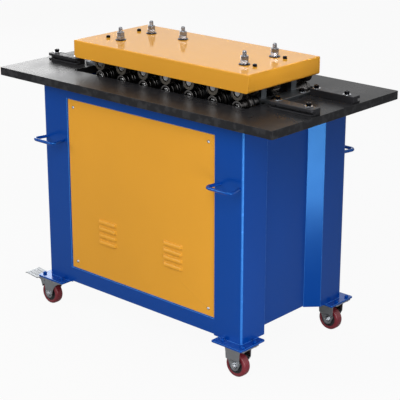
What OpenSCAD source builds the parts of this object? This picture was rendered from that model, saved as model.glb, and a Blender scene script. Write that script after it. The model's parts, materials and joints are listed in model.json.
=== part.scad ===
// Duct seam closing machine: a geared head of seven roll pairs on a castored sheet-metal cabinet.
// X runs along the feed, the operator stands on the -Y side, and the origin lies on the floor
// under the middle of the machine.

/* [Cabinet] */
// Length of the cabinet over the corner posts
cabinet_l = 890; // [860:5:960]
// Width of the cabinet over the corner posts
cabinet_w = 520; // [510:5:580]
// Height of the cabinet from the foot plates to the table
cabinet_h = 710; // [660:5:800]
// Thickness of the cabinet sheet
sheet_t = 3; // [2:0.5:4]
// Width of a corner post seen from the front
post_w = 115; // [100:1:125]
// Width of a corner post seen from the end, without its slope
post_side_w = 113; // [100:1:125]
// Depth by which the end panels lie behind the posts
end_recess = 40; // [25:1:45]
// Bend radius of the post corners
bend_r = 8; // [5:0.5:12]
// Height of the bottom rail of a panel opening
rail_bottom_h = 57; // [45:1:80]
// Height of the top rail of a panel opening
rail_top_h = 48; // [35:1:70]
// Depth of the step that a panel lies in
panel_step = 6; // [4:0.5:10]
// Width of the ledge behind a panel
ledge_w = 38; // [30:1:45]

/* [Panels] */
// Thickness of a front or rear panel
panel_t = 2; // [1:0.5:3]
// Gap round a panel
panel_gap = 2; // [1:0.5:3]
// Distance of a panel screw from the side of the opening
panel_screw_in = 27; // [20:1:30]
// Diameter of a panel screw
panel_screw_d = 6; // [4:0.5:8]
// Length of a louvre
louvre_l = 84; // [60:1:110]
// Height of a louvre
louvre_h = 12; // [8:0.5:16]
// Height that a louvre stands out of the panel
louvre_out = 7; // [5:0.5:9]
// Distance between louvres
louvre_pitch = 24.4; // [20:0.2:30]
// Number of louvres in a group
louvre_count = 4; // [2:1:6]
// Distance of the middle of a louvre group from the middle of the panel
louvre_x = 150; // [110:1:200]
// Height of the lowest louvre above the bottom of the opening
louvre_up = 125; // [80:1:200]

/* [Castors] */
// Diameter of a castor wheel
wheel_d = 80; // [75:1:90]
// Width of a castor wheel
wheel_w = 30; // [24:1:32]
// Height of a castor over its mounting plate
castor_h = 112; // [108:1:125]
// Thickness of a castor's mounting plate
castor_plate_t = 3; // [2.5:0.5:4]
// Length of a castor's mounting plate
castor_plate_l = 110; // [105:1:116]
// Width of a castor's mounting plate
castor_plate_w = 80; // [76:1:90]
// Distance between castor bolts along the feed
castor_bolt_x = 86; // [80:1:90]
// Distance between castor bolts across the feed
castor_bolt_y = 57; // [54:1:62]
// Thickness of a castor fork
fork_t = 3; // [2:0.5:4]
// Distance of a swivel wheel behind its swivel axis
castor_trail = 38; // [28:1:40]
// Diameter of a castor axle
castor_axle_d = 12; // [10:0.5:14]
// Length of a foot plate along the feed
foot_l = 124; // [120:1:140]
// Width of a foot plate
foot_w = 118; // [114:1:132]
// Thickness of a foot plate
foot_t = 6; // [4:0.5:10]

/* [Table] */
// Length of the table along the feed
table_l = 1200; // [1196:4:1400]
// Width of the table
table_w = 636; // [620:4:800]
// Thickness of the table
table_t = 27; // [22:1:35]
// Width of the cut-out for the head
cutout_w = 356; // [350:2:400]
// Length of cut-out left free beyond the feed-in end of the head
cutout_in = 33; // [25:1:50]
// Length of cut-out left free beyond the delivery end of the head
cutout_out = 17; // [10:1:24]

/* [Roll head] */
// Module of the gears
gear_m = 2.5; // [2.4:0.05:2.6]
// Teeth on each roll shaft
roll_teeth = 18; // [18:1:19]
// Teeth on an idler gear
idler_teeth = 22; // [21:1:23]
// Teeth on the drive gear
drive_teeth = 30; // [28:1:31]
// Width of the gears
gear_w = 30; // [24:1:40]
// Thinning of each tooth for backlash
gear_play = 0.3; // [0.2:0.05:0.5]
// Place of the first roll pair along the feed
first_roll_x = -258; // [-262:1:-250]
// Depth of the lower roll shafts below the table surface
lower_axis_down = 5; // [3:0.5:8]
// Thickness of a head plate
plate_t = 25; // [24:1:28]
// Distance between the two head plates
plate_gap = 124; // [110:2:128]
// Height of the seam between the housings above the table
seam_up = 17.5; // [16.5:0.5:18.5]
// Depth of the lower housing below the table surface
housing_down = 85; // [75:1:95]
// Height of the upper housing
upper_h = 84.5; // [80:0.5:95]
// Length of head before the first roll pair
head_in = 87; // [80:1:92]
// Length of head after the last roll pair
head_out = 26; // [24:1:32]
// Thickness of the plates that tie the head plates together
tie_t = 12; // [8:1:16]
// Thickness of the feet that carry the head
head_foot_t = 10; // [8:1:12]
// Lift that the upper head is given for thick sheet
lift_max = 1.5; // [1:0.1:2]

/* [Rolls] */
// Diameter of a roll shaft
shaft_d = 20; // [18:0.5:21]
// Diameter of a roll shaft between the head plates
shaft_mid_d = 26; // [25:0.5:28]
// Diameter of the threaded end of a roll shaft
shaft_end_d = 14; // [12:0.5:15]
// Outer diameter of a shaft bush
bush_d = 28; // [26:0.5:29]
// Thickness of a bush flange
bush_flange_t = 2; // [1.5:0.5:3]
// Radial running clearance of the shafts
run_gap = 0.03; // [0.02:0.01:0.05]
// Radius of the flat bands on both rolls of a pair
band_r = 22.1; // [21.9:0.1:22.2]
// Radius of the outer band of the lower rolls
outer_band_r = 20.2; // [19.5:0.1:21]
// Height of the forming flange at the last pair
flange_rise = 9.4; // [7:0.2:9.6]
// Gap between the rolls of a pair
sheet_gap = 0.8; // [0.6:0.1:1.2]
// Length of a roll
roll_l = 82.7; // [76:0.1:85]
// Diameter of the recess in a roll's outer face
roll_recess_d = 29; // [27:0.5:30]
// Depth of the recess in a roll's outer face
roll_recess = 10; // [8:0.5:12]

/* [Cover] */
// Length of the cover before the head
cover_in = 31; // [20:1:50]
// Length of the cover after the head
cover_out = 23; // [15:1:40]
// Width of the cover
cover_w = 354; // [350:2:400]
// Height of the cover's sides
cover_h = 59; // [50:1:62]
// Thickness of the cover
cover_t = 2; // [1:0.5:3]
// Diameter of the studs
stud_d = 13; // [12:0.5:14]
// Height of the studs above the cover
stud_up = 44; // [40:1:50]
// Height of a stud nut
stud_nut_h = 12.5; // [11:0.5:13]

/* [Guides] */
// Length of a guide on the feed-in side
guide_in_l = 147; // [135:1:170]
// Length of a guide on the delivery side
guide_out_l = 167; // [160:1:170]
// Width of a guide
guide_w = 40; // [36:1:44]
// Height of a guide
guide_h = 22; // [20:0.5:26]
// Height of the groove in a guide
groove_h = 8; // [6:0.5:10]
// Depth of the groove in a guide
groove_d = 17; // [12:1:18]
// Thickness of the lip below the groove
groove_up = 5; // [4:0.5:6]
// Distance of a guide's middle from the middle of the table
guide_y = 103; // [98:1:110]
// Travel of a guide to each side when its bolts are slack
guide_travel = 5; // [2:0.5:5]
// Diameter of a guide bolt
guide_bolt_d = 10; // [8:0.5:10]

/* [Handles] */
// Diameter of a handle rod
handle_d = 11; // [8:0.5:14]
// Distance that a handle stands out
handle_out = 62; // [50:1:80]
// Height of the handles above the foot plates
handle_up = 512; // [400:1:600]
// Distance between the ends of a handle
handle_l = 80; // [76:1:82]
// Angle by which the legs of a handle spread
handle_flare = 12; // [0:1:15]

/* [Controls] */
// Length of the control box
box_l = 130; // [110:1:160]
// Height of the control box
box_h = 180; // [150:1:200]
// Depth of the control box
box_d = 70; // [50:1:85]
// Diameter of a button
button_d = 28; // [24:1:32]
// Travel of a button
button_travel = 4; // [2:0.5:5]

/* [Hidden] */
$fn = 48;

roll_count = 7;
pressure_angle = 20;
slack = 0.02;
seat = 0.05;
cut = 1;
slope_inset = sqrt(2) - 1;
hole_extra = 2;

// Heights
cabinet_z = castor_h + foot_t;
table_under_z = cabinet_z + cabinet_h;
table_z = table_under_z + table_t;
opening_z0 = cabinet_z + rail_bottom_h;
opening_z1 = table_under_z - rail_top_h;
lower_z = table_z - lower_axis_down;
upper_z = lower_z + gear_m * roll_teeth;
seam_z = table_z + seam_up;
housing_z = table_z - housing_down;
head_top_z = seam_z + upper_h;
cover_top_z = head_top_z + cover_t;
cover_z = cover_top_z - cover_h;

// Places across and along
post_x = cabinet_l / 2;
post_y = cabinet_w / 2;
end_x = post_x - end_recess;
opening_x = post_x - post_w;
plate_in = plate_gap / 2;
plate_out = plate_in + plate_t;
plate_mid = plate_in + plate_t / 2;
roll_pitch = gear_m * (roll_teeth + idler_teeth);
last_roll_x = first_roll_x + (roll_count - 1) * roll_pitch;
head_x0 = first_roll_x - head_in;
head_x1 = last_roll_x + head_out;
cutout_x0 = head_x0 - cutout_in;
cutout_x1 = head_x1 + cutout_out;
cover_x0 = head_x0 - cover_in;
cover_x1 = head_x1 + cover_out;

// Table bolts and panels
table_bolt_x = post_x - 55;
table_bolt_y = post_y - 55;
table_bolt_d = 10;
table_bolt_depth = 16;
gusset_l = 90;
gusset_t = 6;
panel_face_y = panel_step - post_y - panel_t;

// Gear train below the middle idler
middle_idler = 2;
transfer_teeth = idler_teeth;
drive_x = first_roll_x + (middle_idler + 0.5) * roll_pitch;
transfer_z = lower_z - gear_m * (idler_teeth + transfer_teeth) / 2;
drive_z = transfer_z - gear_m * (transfer_teeth + drive_teeth) / 2;
drive_shaft_d = 25;
drive_mid_d = 31;
drive_bush_d = 33;
belly_w = 90;
belly_slope = 18;
belly_z = drive_z - drive_bush_d / 2 - 16;
idler_pin_d = 20;
idler_bush_d = 28;
idler_half = gear_w / 2 + 3;
gear_pocket_r = gear_m * (roll_teeth / 2 + 1) + 1.5;
spacer_d = 26;
axial_gap = 0.3;
key_w = 6;
key_h = 5;

// Rolls
roll_y = plate_out + bush_flange_t + axial_gap;
ring_ends = [17, 41, 51, 66];
ring_gap = 1.2;
lower_core_r = 16;
upper_core_r = 12;
pair_height = gear_m * roll_teeth - sheet_gap;

// Gearmotor and its beam
reducer_gap = 4;
reducer_y0 = plate_out + bush_flange_t + reducer_gap;
reducer_w = 84;
reducer_mid_y = reducer_y0 + reducer_w / 2;
reducer_l = 108;
sleeve_d = 40;
worm_drop = 63;
worm_z = drive_z - worm_drop;
motor_d = 140;
motor_l = 230;
motor_x0 = drive_x + 68;
beam_top_z = worm_z - motor_d / 2 - 6;
beam_h = 40;
beam_w = 90;
beam_t = 4;

// Head fasteners
foot_bolt_d = 12;
foot_bolt_depth = 20;
head_foot_l = 38;
foot_bolt_in = 20;
foot_bolt_y = plate_out - 18;
clamp_d = 12;
clamp_offset = 23;
clamp_idlers = [0, 2, 4];
clamp_depth = 24;
clamp_head_d = 18;
clamp_head_drop = 16;
clamp_play = 0.4;
clamp_floor_z = head_top_z - clamp_head_drop - clamp_d - lift_max - clamp_play;
stud_y = plate_mid - 0.5;
stud_depth = 24;
stud_af = 24;
stud_washer_d = 36;
stud_washer_t = 3;
front_stud_x = [head_x0 + 89, head_x1 - 80];
rear_stud_x = [head_x0 + 89, first_roll_x + 1.5 * roll_pitch, head_x1 - 80];
cover_screw_d = 8;
cover_screw_depth = 12;
cover_screw_x = [head_x0 + 29, head_x1 - 38];

// Castors
castor_x = post_x - 26;
castor_y = post_y - 16.5;
foot_x = post_x - 35;
foot_y = post_y - 25;
axle_z = wheel_d / 2;
castor_bolt_d = 8;
castor_plate_z = castor_h - castor_plate_t;
fork_in = wheel_w / 2 + 2;
fork_out = fork_in + fork_t;
fork_end_r = 17;
fork_top_l = 68;
fork_wide = 27;
raceway_h = 8;
rivet_h = 3;
fork_top_z = castor_plate_z - raceway_h - slack;
kingpin_d = 12;
bowl_t = 5;
bowl_r = 34;
pedal_pivot = [-castor_trail - 22, castor_h - 26];
pedal_pin_d = 6;
pedal_w = 62;
brake_gap = 0.3;

// Guides and controls
guide_bolt_y = guide_y - 7;
guide_bolt_depth = 18;
guide_in_x0 = cutout_x0 - head_foot_l - 10 - guide_in_l;
guide_out_x0 = cutout_x1 + head_foot_l + 2;
guide_washer_d = 26;
guide_washer_t = 2;
guide_slot_d = guide_bolt_d + 0.4;
entry_bolt_x = [guide_in_x0 + 19, guide_in_x0 + guide_in_l - 24];
exit_bolt_x = [guide_out_x0 + 16, guide_out_x0 + guide_out_l - 34];
box_drop = 30;
box_z = table_under_z - box_drop - box_h;
start_y = -32;
stop_y = 32;
button_drop = 60;
button_z = box_z + box_h - button_drop;
gland_d = 24;
cable_d = 11;

// Roll places and gear phases
function roll_x(k) = first_roll_x + k * roll_pitch;
function idler_x(k) = roll_x(k) + roll_pitch / 2;
function clamp_x(k) = idler_x(k) + clamp_offset;
// Tooth angle of a gear that meshes with another one lying in a given direction from it
function mesh_phase(phase, teeth, mate_teeth, direction) =
    direction + 180 - (phase - direction) * teeth / mate_teeth + 180 / mate_teeth;
function lower_phase(k) = k == 0 ? 0 : mesh_phase(idler_phase(k - 1), idler_teeth, roll_teeth, 0);
function idler_phase(k) = mesh_phase(lower_phase(k), roll_teeth, idler_teeth, 0);
function upper_phase(k) = mesh_phase(lower_phase(k), roll_teeth, roll_teeth, 90);
transfer_phase = mesh_phase(idler_phase(middle_idler), idler_teeth, transfer_teeth, -90);
drive_phase = mesh_phase(transfer_phase, transfer_teeth, drive_teeth, -90);

// Curves
function arc(centre, r, from, to, steps) =
    [for (i = [0:steps]) let (a = from + (to - from) * i / steps) centre + r * [cos(a), sin(a)]];
function bend(p0, p1, p2, steps) =
    [for (i = [0:steps]) let (t = i / steps) (1 - t) * (1 - t) * p0 + 2 * t * (1 - t) * p1 + t * t * p2];
function rounded(l, w, r) = concat(
    arc([l / 2 - r, w / 2 - r], r, 0, 90, 5), arc([r - l / 2, w / 2 - r], r, 90, 180, 5),
    arc([r - l / 2, r - w / 2], r, 180, 270, 5), arc([l / 2 - r, r - w / 2], r, 270, 360, 5));
function flip_x(points) = [for (i = [len(points) - 1:-1:0]) [-points[i][0], points[i][1]]];
function flip_y(points) = [for (i = [len(points) - 1:-1:0]) [points[i][0], -points[i][1]]];

// Solids along Y
module rod_y(d, y0, y1) {
    translate([0, y0, 0]) rotate([-90, 0, 0]) cylinder(d = d, h = y1 - y0);
}
module slab_y(points, y0, y1) {
    translate([0, y1, 0]) rotate([90, 0, 0]) linear_extrude(y1 - y0) polygon(points);
}
module turned_y(points) {
    rotate([-90, 0, 0]) rotate_extrude() polygon(points);
}
module both_sides() {
    children();
    mirror([0, 1, 0]) children();
}
module four_corners(dx, dy) {
    for (sx = [-1, 1], sy = [-1, 1]) translate([sx * dx, sy * dy, 0]) children();
}

// Fasteners that stand on z = 0 and point up
module hex_head(af, h) {
    tip = af / sqrt(3);
    flat_r = af / 2 - 0.3;
    edge = 0.6 * (tip + cut - flat_r);
    intersection() {
        cylinder(r = tip, h = h, $fn = 6);
        rotate_extrude() polygon([[0, 0], [flat_r, 0], [tip + cut, edge], [tip + cut, h - edge],
            [flat_r, h], [0, h]]);
    }
}
module hex_nut(af, bore, h) {
    difference() {
        hex_head(af, h);
        translate([0, 0, -cut]) cylinder(d = bore, h = h + 2 * cut);
    }
}
module washer(d, bore, t) {
    difference() {
        cylinder(d = d, h = t);
        translate([0, 0, -cut]) cylinder(d = bore, h = t + 2 * cut);
    }
}
module socket_head(d, h, socket) {
    edge = 0.8;
    difference() {
        rotate_extrude() polygon([[0, 0], [d / 2, 0], [d / 2, h - edge], [d / 2 - edge, h], [0, h]]);
        translate([0, 0, h / 2]) cylinder(d = socket, h = h, $fn = 6);
    }
}

// Cabinet
function cabinet_quarter(i) = concat(
    [[end_x - i, post_y - post_side_w - end_recess + slope_inset * i],
     [post_x - i, post_y - post_side_w + slope_inset * i]],
    arc([post_x - bend_r, post_y - bend_r], bend_r - i, 0, 90, 5));
function cabinet_outline(i) = concat(
    cabinet_quarter(i), flip_x(cabinet_quarter(i)),
    flip_y(flip_x(cabinet_quarter(i))), flip_y(cabinet_quarter(i)));

module opening_block(grow, y0, y1) {
    translate([-opening_x - grow, y0, opening_z0 - grow])
        cube([2 * (opening_x + grow), y1 - y0, opening_z1 - opening_z0 + 2 * grow]);
}

module cabinet() {
    notch_h = 4;
    foot_corner_r = 4;
    gusset_at = [post_x - sheet_t / 2 - gusset_l / 2, post_y - sheet_t / 2 - gusset_l / 2];
    color("royalblue") difference() {
        union() {
            translate([0, 0, cabinet_z]) linear_extrude(cabinet_h) difference() {
                polygon(cabinet_outline(0));
                polygon(cabinet_outline(sheet_t));
            }
            // Joggled ledge behind each panel
            both_sides() difference() {
                opening_block(sheet_t, -post_y + sheet_t / 2, -post_y + panel_step + sheet_t);
                opening_block(0, -post_y - cut, -post_y + panel_step);
                opening_block(-ledge_w, -post_y, -post_y + panel_step + 2 * sheet_t);
            }
            // Gussets under the table
            four_corners(gusset_at[0], gusset_at[1])
                translate([-gusset_l / 2, -gusset_l / 2, table_under_z - gusset_t])
                    cube([gusset_l, gusset_l, gusset_t]);
            // Welded foot plates
            four_corners(foot_x, foot_y)
                translate([0, 0, castor_h]) linear_extrude(foot_t)
                    polygon(rounded(foot_l, foot_w, foot_corner_r));
        }
        opening_block(0, -post_y - cut, -post_y + panel_step);
        opening_block(0, post_y - panel_step, post_y + cut);
        // Raised lower edge between the posts
        translate([-opening_x, -post_y - cut, cabinet_z]) cube([2 * opening_x, cabinet_w + 2 * cut, notch_h]);
        translate([-post_x - cut, post_side_w + end_recess - post_y, cabinet_z])
            cube([cabinet_l + 2 * cut, cabinet_w - 2 * post_side_w - 2 * end_recess, notch_h]);
        four_corners(castor_x, castor_y) four_corners(castor_bolt_x / 2, castor_bolt_y / 2)
            translate([0, 0, castor_h - cut]) cylinder(d = castor_bolt_d + 1, h = foot_t + 2 * cut);
        four_corners(table_bolt_x, table_bolt_y)
            translate([0, 0, table_under_z - gusset_t - cut])
                cylinder(d = table_bolt_d + 1, h = gusset_t + 2 * cut);
        both_sides() panel_screw_places()
            translate([0, -post_y, 0]) rod_y(panel_screw_d, 0, panel_step + 2 * sheet_t);
    }
}

module table_bolts() {
    head_af = 16;
    head_h = 6.5;
    grip = gusset_t + table_bolt_depth;
    color("dimgray") four_corners(table_bolt_x, table_bolt_y)
        translate([0, 0, table_under_z - gusset_t]) rotate([180, 0, 0]) {
            hex_head(head_af, head_h);
            translate([0, 0, -grip]) cylinder(d = table_bolt_d, h = grip + cut);
        }
}

module panel_screw_places() {
    for (sx = [-1, 1], z = [opening_z0 + panel_screw_in, opening_z1 - panel_screw_in])
        translate([sx * (opening_x - panel_screw_in), 0, z]) children();
}

// A pressed louvre, open below, on a face that looks to -Y
module louvre_form(l, h, out, end) {
    steps = 5;
    hood = [for (i = [0:steps]) [-out * cos(90 * i / steps), h * sin(90 * i / steps)]];
    intersection() {
        translate([-l / 2, 0, 0]) rotate([90, 0, 90]) linear_extrude(l)
            polygon(concat([[cut, 0]], hood, [[cut, h]]));
        linear_extrude(h) polygon([[-l / 2, cut], [-l / 2, 0], [end - l / 2, -out], [l / 2 - end, -out],
            [l / 2, 0], [l / 2, cut]]);
    }
}
module louvre_places() {
    for (sx = [-1, 1], i = [0:louvre_count - 1])
        translate([sx * louvre_x, panel_face_y, opening_z0 + louvre_up + i * louvre_pitch]) children();
}

module panel() {
    louvre_wall = 1.4;
    louvre_end = 7;
    slit_l = louvre_l - 2 * louvre_end - 2;
    difference() {
        union() {
            opening_block(-panel_gap, panel_face_y, panel_face_y + panel_t);
            louvre_places() louvre_form(louvre_l, louvre_h, louvre_out, louvre_end);
        }
        louvre_places() translate([0, 0, -slack])
            louvre_form(louvre_l - 2 * louvre_wall, louvre_h - louvre_wall, louvre_out - louvre_wall,
                louvre_end);
        louvre_places() translate([-slit_l / 2, -cut, 0]) cube([slit_l, panel_t + 2 * cut, louvre_h / 2]);
        panel_screw_places() translate([0, panel_face_y, 0]) rod_y(panel_screw_d + 1, -cut, panel_t + cut);
    }
}
module front_panel() {
    color("orange") panel();
}
module rear_panel() {
    color("orange") mirror([0, 1, 0]) panel();
}
module panel_screws() {
    head_d = 11;
    head_h = 3.5;
    slot_w = 1.2;
    past_ledge = 2;
    color("silver") both_sides() panel_screw_places() translate([0, panel_face_y, 0]) {
        difference() {
            turned_y([[0, -head_h], [head_d / 4, -head_h], [head_d / 2 - 1, -head_h * 0.6],
                [head_d / 2, 0], [0, 0]]);
            translate([0, -head_h, 0]) cube([head_d, 2, slot_w], center = true);
        }
        rod_y(panel_screw_d - slack, 0, panel_t + sheet_t + past_ledge);
    }
}

// Table
module table_top() {
    corner_r = 6;
    guide_hole = guide_bolt_depth + hole_extra;
    foot_hole = foot_bolt_depth + hole_extra;
    color("dimgray") difference() {
        translate([0, 0, table_under_z]) linear_extrude(table_t) polygon(rounded(table_l, table_w, corner_r));
        translate([cutout_x0, -cutout_w / 2, table_under_z - cut])
            cube([cutout_x1 - cutout_x0, cutout_w, table_t + 2 * cut]);
        guide_bolt_places() translate([0, 0, table_z - guide_hole])
            cylinder(d = guide_bolt_d + slack, h = guide_hole + cut);
        head_bolt_places() translate([0, 0, table_z - foot_hole])
            cylinder(d = foot_bolt_d + slack, h = foot_hole + cut);
        four_corners(table_bolt_x, table_bolt_y) translate([0, 0, table_under_z - cut])
            cylinder(d = table_bolt_d + slack, h = table_bolt_depth + hole_extra + cut);
    }
}

// Head housings
module lower_plate_outline() {
    polygon([[head_x0, housing_z], [drive_x - belly_w / 2 - belly_slope, housing_z],
        [drive_x - belly_w / 2, belly_z], [drive_x + belly_w / 2, belly_z],
        [drive_x + belly_w / 2 + belly_slope, housing_z], [head_x1, housing_z], [head_x1, seam_z],
        [head_x0, seam_z]]);
}
// A bore through both head plates
module cross_bore(x, z, d) {
    translate([x, 0, z]) rod_y(d + slack, -plate_out - cut, plate_out + cut);
}
module lower_housing() {
    foot_x0 = cutout_x0 - head_foot_l;
    foot_x1 = cutout_x1 + head_foot_l;
    foot_z = table_z + head_foot_t;
    belly_half = belly_w / 2 + belly_slope;
    color("slategray") difference() {
        union() {
            both_sides() translate([0, plate_out, 0]) rotate([90, 0, 0]) linear_extrude(plate_t)
                lower_plate_outline();
            // Base ties on both sides of the belly
            translate([head_x0, -plate_in, housing_z])
                cube([drive_x - belly_half - head_x0, plate_gap, tie_t]);
            translate([drive_x + belly_half, -plate_in, housing_z])
                cube([head_x1 - drive_x - belly_half, plate_gap, tie_t]);
            // End walls, the one after the last gear kept below it, and feet on the table
            translate([head_x0, -plate_in, housing_z]) cube([tie_t, plate_gap, foot_z - housing_z]);
            translate([head_x1 - tie_t, -plate_in, housing_z])
                cube([tie_t, plate_gap, lower_z - gear_pocket_r - housing_z]);
            translate([foot_x0, -plate_out, table_z])
                cube([head_x0 + cut - foot_x0, 2 * plate_out, head_foot_t]);
            translate([head_x1 - cut, -plate_out, table_z])
                cube([foot_x1 + cut - head_x1, 2 * plate_out, head_foot_t]);
        }
        for (k = [0:roll_count - 1]) cross_bore(roll_x(k), lower_z, bush_d);
        for (k = [0:roll_count - 2]) cross_bore(idler_x(k), lower_z, idler_pin_d);
        cross_bore(drive_x, transfer_z, idler_pin_d);
        cross_bore(drive_x, drive_z, drive_bush_d);
        translate([last_roll_x, 0, lower_z]) rod_y(2 * gear_pocket_r, -plate_in, plate_in);
        clamp_places() translate([0, 0, seam_z - clamp_depth - cut])
            cylinder(d = clamp_d + slack, h = clamp_depth + 2 * cut);
        head_bolt_places() translate([0, 0, table_z - cut])
            cylinder(d = foot_bolt_d + 1, h = head_foot_t + 2 * cut);
    }
}
module clamp_places() {
    for (k = clamp_idlers, sy = [-1, 1]) translate([clamp_x(k), sy * plate_mid, 0]) children();
}
module head_bolt_places() {
    for (x = [cutout_x0 - foot_bolt_in, cutout_x1 + foot_bolt_in], sy = [-1, 1])
        translate([x, sy * foot_bolt_y, 0]) children();
}
module cover_screw_places() {
    for (x = cover_screw_x, sy = [-1, 1]) translate([x, sy * stud_y, 0]) children();
}
module stud_places() {
    for (x = front_stud_x) translate([x, -stud_y, 0]) children();
    for (x = rear_stud_x) translate([x, stud_y, 0]) children();
}
module upper_housing() {
    head_l = head_x1 - head_x0;
    screw_hole = cover_screw_depth + hole_extra;
    color("slategray") difference() {
        union() {
            both_sides() translate([head_x0, plate_in, seam_z]) cube([head_l, plate_t, upper_h]);
            translate([head_x0, -plate_in, head_top_z - tie_t]) cube([head_l, plate_gap, tie_t]);
        }
        for (k = [0:roll_count - 1]) cross_bore(roll_x(k), upper_z, bush_d);
        clamp_places() {
            translate([0, 0, seam_z - cut]) cylinder(d = clamp_d + 1.5, h = upper_h + 2 * cut);
            translate([0, 0, clamp_floor_z]) cylinder(d = clamp_head_d + 2, h = upper_h);
        }
        stud_places() translate([0, 0, head_top_z - stud_depth - cut])
            cylinder(d = stud_d + slack, h = stud_depth + 2 * cut);
        cover_screw_places() translate([0, 0, head_top_z - screw_hole])
            cylinder(d = cover_screw_d + slack, h = screw_hole + cut);
    }
}
module clamp_screws() {
    socket = 10;
    clamp_head_z = clamp_floor_z + lift_max + clamp_play;
    color("black") clamp_places() {
        translate([0, 0, clamp_head_z]) socket_head(clamp_head_d, clamp_d, socket);
        translate([0, 0, seam_z - clamp_depth])
            cylinder(d = clamp_d, h = clamp_head_z - seam_z + clamp_depth + cut);
    }
}
module head_bolts() {
    washer_d = 24;
    washer_t = 2;
    head_af = 19;
    head_h = 7.5;
    color("black") head_bolt_places() translate([0, 0, table_z + head_foot_t]) {
        washer(washer_d, foot_bolt_d + 1, washer_t);
        translate([0, 0, washer_t + seat]) hex_head(head_af, head_h);
        translate([0, 0, -head_foot_t - foot_bolt_depth])
            cylinder(d = foot_bolt_d, h = foot_bolt_depth + head_foot_t + washer_t + cut);
    }
}

// Bushes, pins and gears
module bush(d, bore, flange) {
    turned_y([[bore / 2, plate_in], [d / 2, plate_in], [d / 2, plate_out], [flange / 2, plate_out],
        [flange / 2, plate_out + bush_flange_t], [bore / 2, plate_out + bush_flange_t]]);
}
module lower_bushes() {
    color("goldenrod") {
        for (k = [0:roll_count - 1])
            translate([roll_x(k), 0, lower_z]) both_sides() bush(bush_d, shaft_d + 2 * run_gap, bush_d + 6);
        translate([drive_x, 0, drive_z])
            both_sides() bush(drive_bush_d, drive_shaft_d + 2 * run_gap, drive_bush_d + 6);
    }
}
module upper_bushes() {
    color("goldenrod") for (k = [0:roll_count - 1])
        translate([roll_x(k), 0, upper_z]) both_sides() bush(bush_d, shaft_d + 2 * run_gap, bush_d + 6);
}
module idler_pin() {
    spacer_y = idler_half + axial_gap;
    bore_r = idler_pin_d / 2 + run_gap;
    rod_y(idler_pin_d, -plate_out, plate_out);
    both_sides() turned_y([[bore_r, spacer_y], [spacer_d / 2, spacer_y], [spacer_d / 2, plate_in - slack],
        [bore_r, plate_in - slack]]);
}
module idler_pins() {
    color("silver") {
        for (k = [0:roll_count - 2]) translate([idler_x(k), 0, lower_z]) idler_pin();
        translate([drive_x, 0, transfer_z]) idler_pin();
    }
}

// Involute gear with a play allowance, tooth 0 at the given angle in the XZ plane
function involute(r, base_r) = r <= base_r ? 0 : sqrt(pow(r / base_r, 2) - 1) * 180 / PI - acos(base_r / r);
module gear_outline(teeth, phase) {
    pitch_r = gear_m * teeth / 2;
    base_r = pitch_r * cos(pressure_angle);
    tip_r = pitch_r + gear_m;
    root_r = pitch_r - 1.25 * gear_m;
    radii = [root_r, max(base_r, root_r + 0.1), pitch_r, (pitch_r + tip_r) / 2, tip_r];
    pitch_half = 90 / teeth - gear_play / 2 / pitch_r * 180 / PI + involute(pitch_r, base_r);
    polygon([for (t = [0:teeth - 1], side = [-1, 1], i = [0:4])
        let (r = side < 0 ? radii[i] : radii[4 - i],
            a = phase + t * 360 / teeth + side * (pitch_half - involute(r, base_r)))
        [r * cos(a), r * sin(a)]]);
}
module gear(teeth, phase, bore, keyed) {
    rotate([90, 0, 0]) linear_extrude(gear_w, center = true) difference() {
        gear_outline(teeth, phase);
        circle(d = bore);
        if (keyed) translate([-key_w / 2 - slack, 0]) square([key_w + 2 * slack, (bore + key_h) / 2 + slack]);
    }
}
module idler(teeth, phase) {
    bore_r = idler_pin_d / 2 + run_gap;
    gear(teeth, phase, idler_bush_d + slack, false);
    turned_y([[bore_r, -idler_half], [idler_bush_d / 2, -idler_half], [idler_bush_d / 2, idler_half],
        [bore_r, idler_half]]);
}
module idler_gear(k) {
    color("gray") translate([idler_x(k), 0, lower_z]) idler(idler_teeth, idler_phase(k));
}
module transfer_gear() {
    color("gray") translate([drive_x, 0, transfer_z]) idler(transfer_teeth, transfer_phase);
}

// Rolls: each ring is [start, end, start radius, end radius], measured out from the inner face
function rise(k) = flange_rise * (k + 1) / roll_count;
function rings(k) = [
    [0, ring_ends[0], band_r, band_r],
    [ring_ends[0] + ring_gap, ring_ends[1], band_r, band_r + rise(k)],
    [ring_ends[1] + ring_gap, ring_ends[2], band_r + rise(k), band_r + rise(k)],
    [ring_ends[2] + ring_gap, ring_ends[3], outer_band_r + rise(k) / 6, outer_band_r],
    [ring_ends[3] + ring_gap, roll_l, outer_band_r, outer_band_r]];
function mate(ring) = [ring[0], ring[1], pair_height - ring[2], pair_height - ring[3]];

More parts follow.
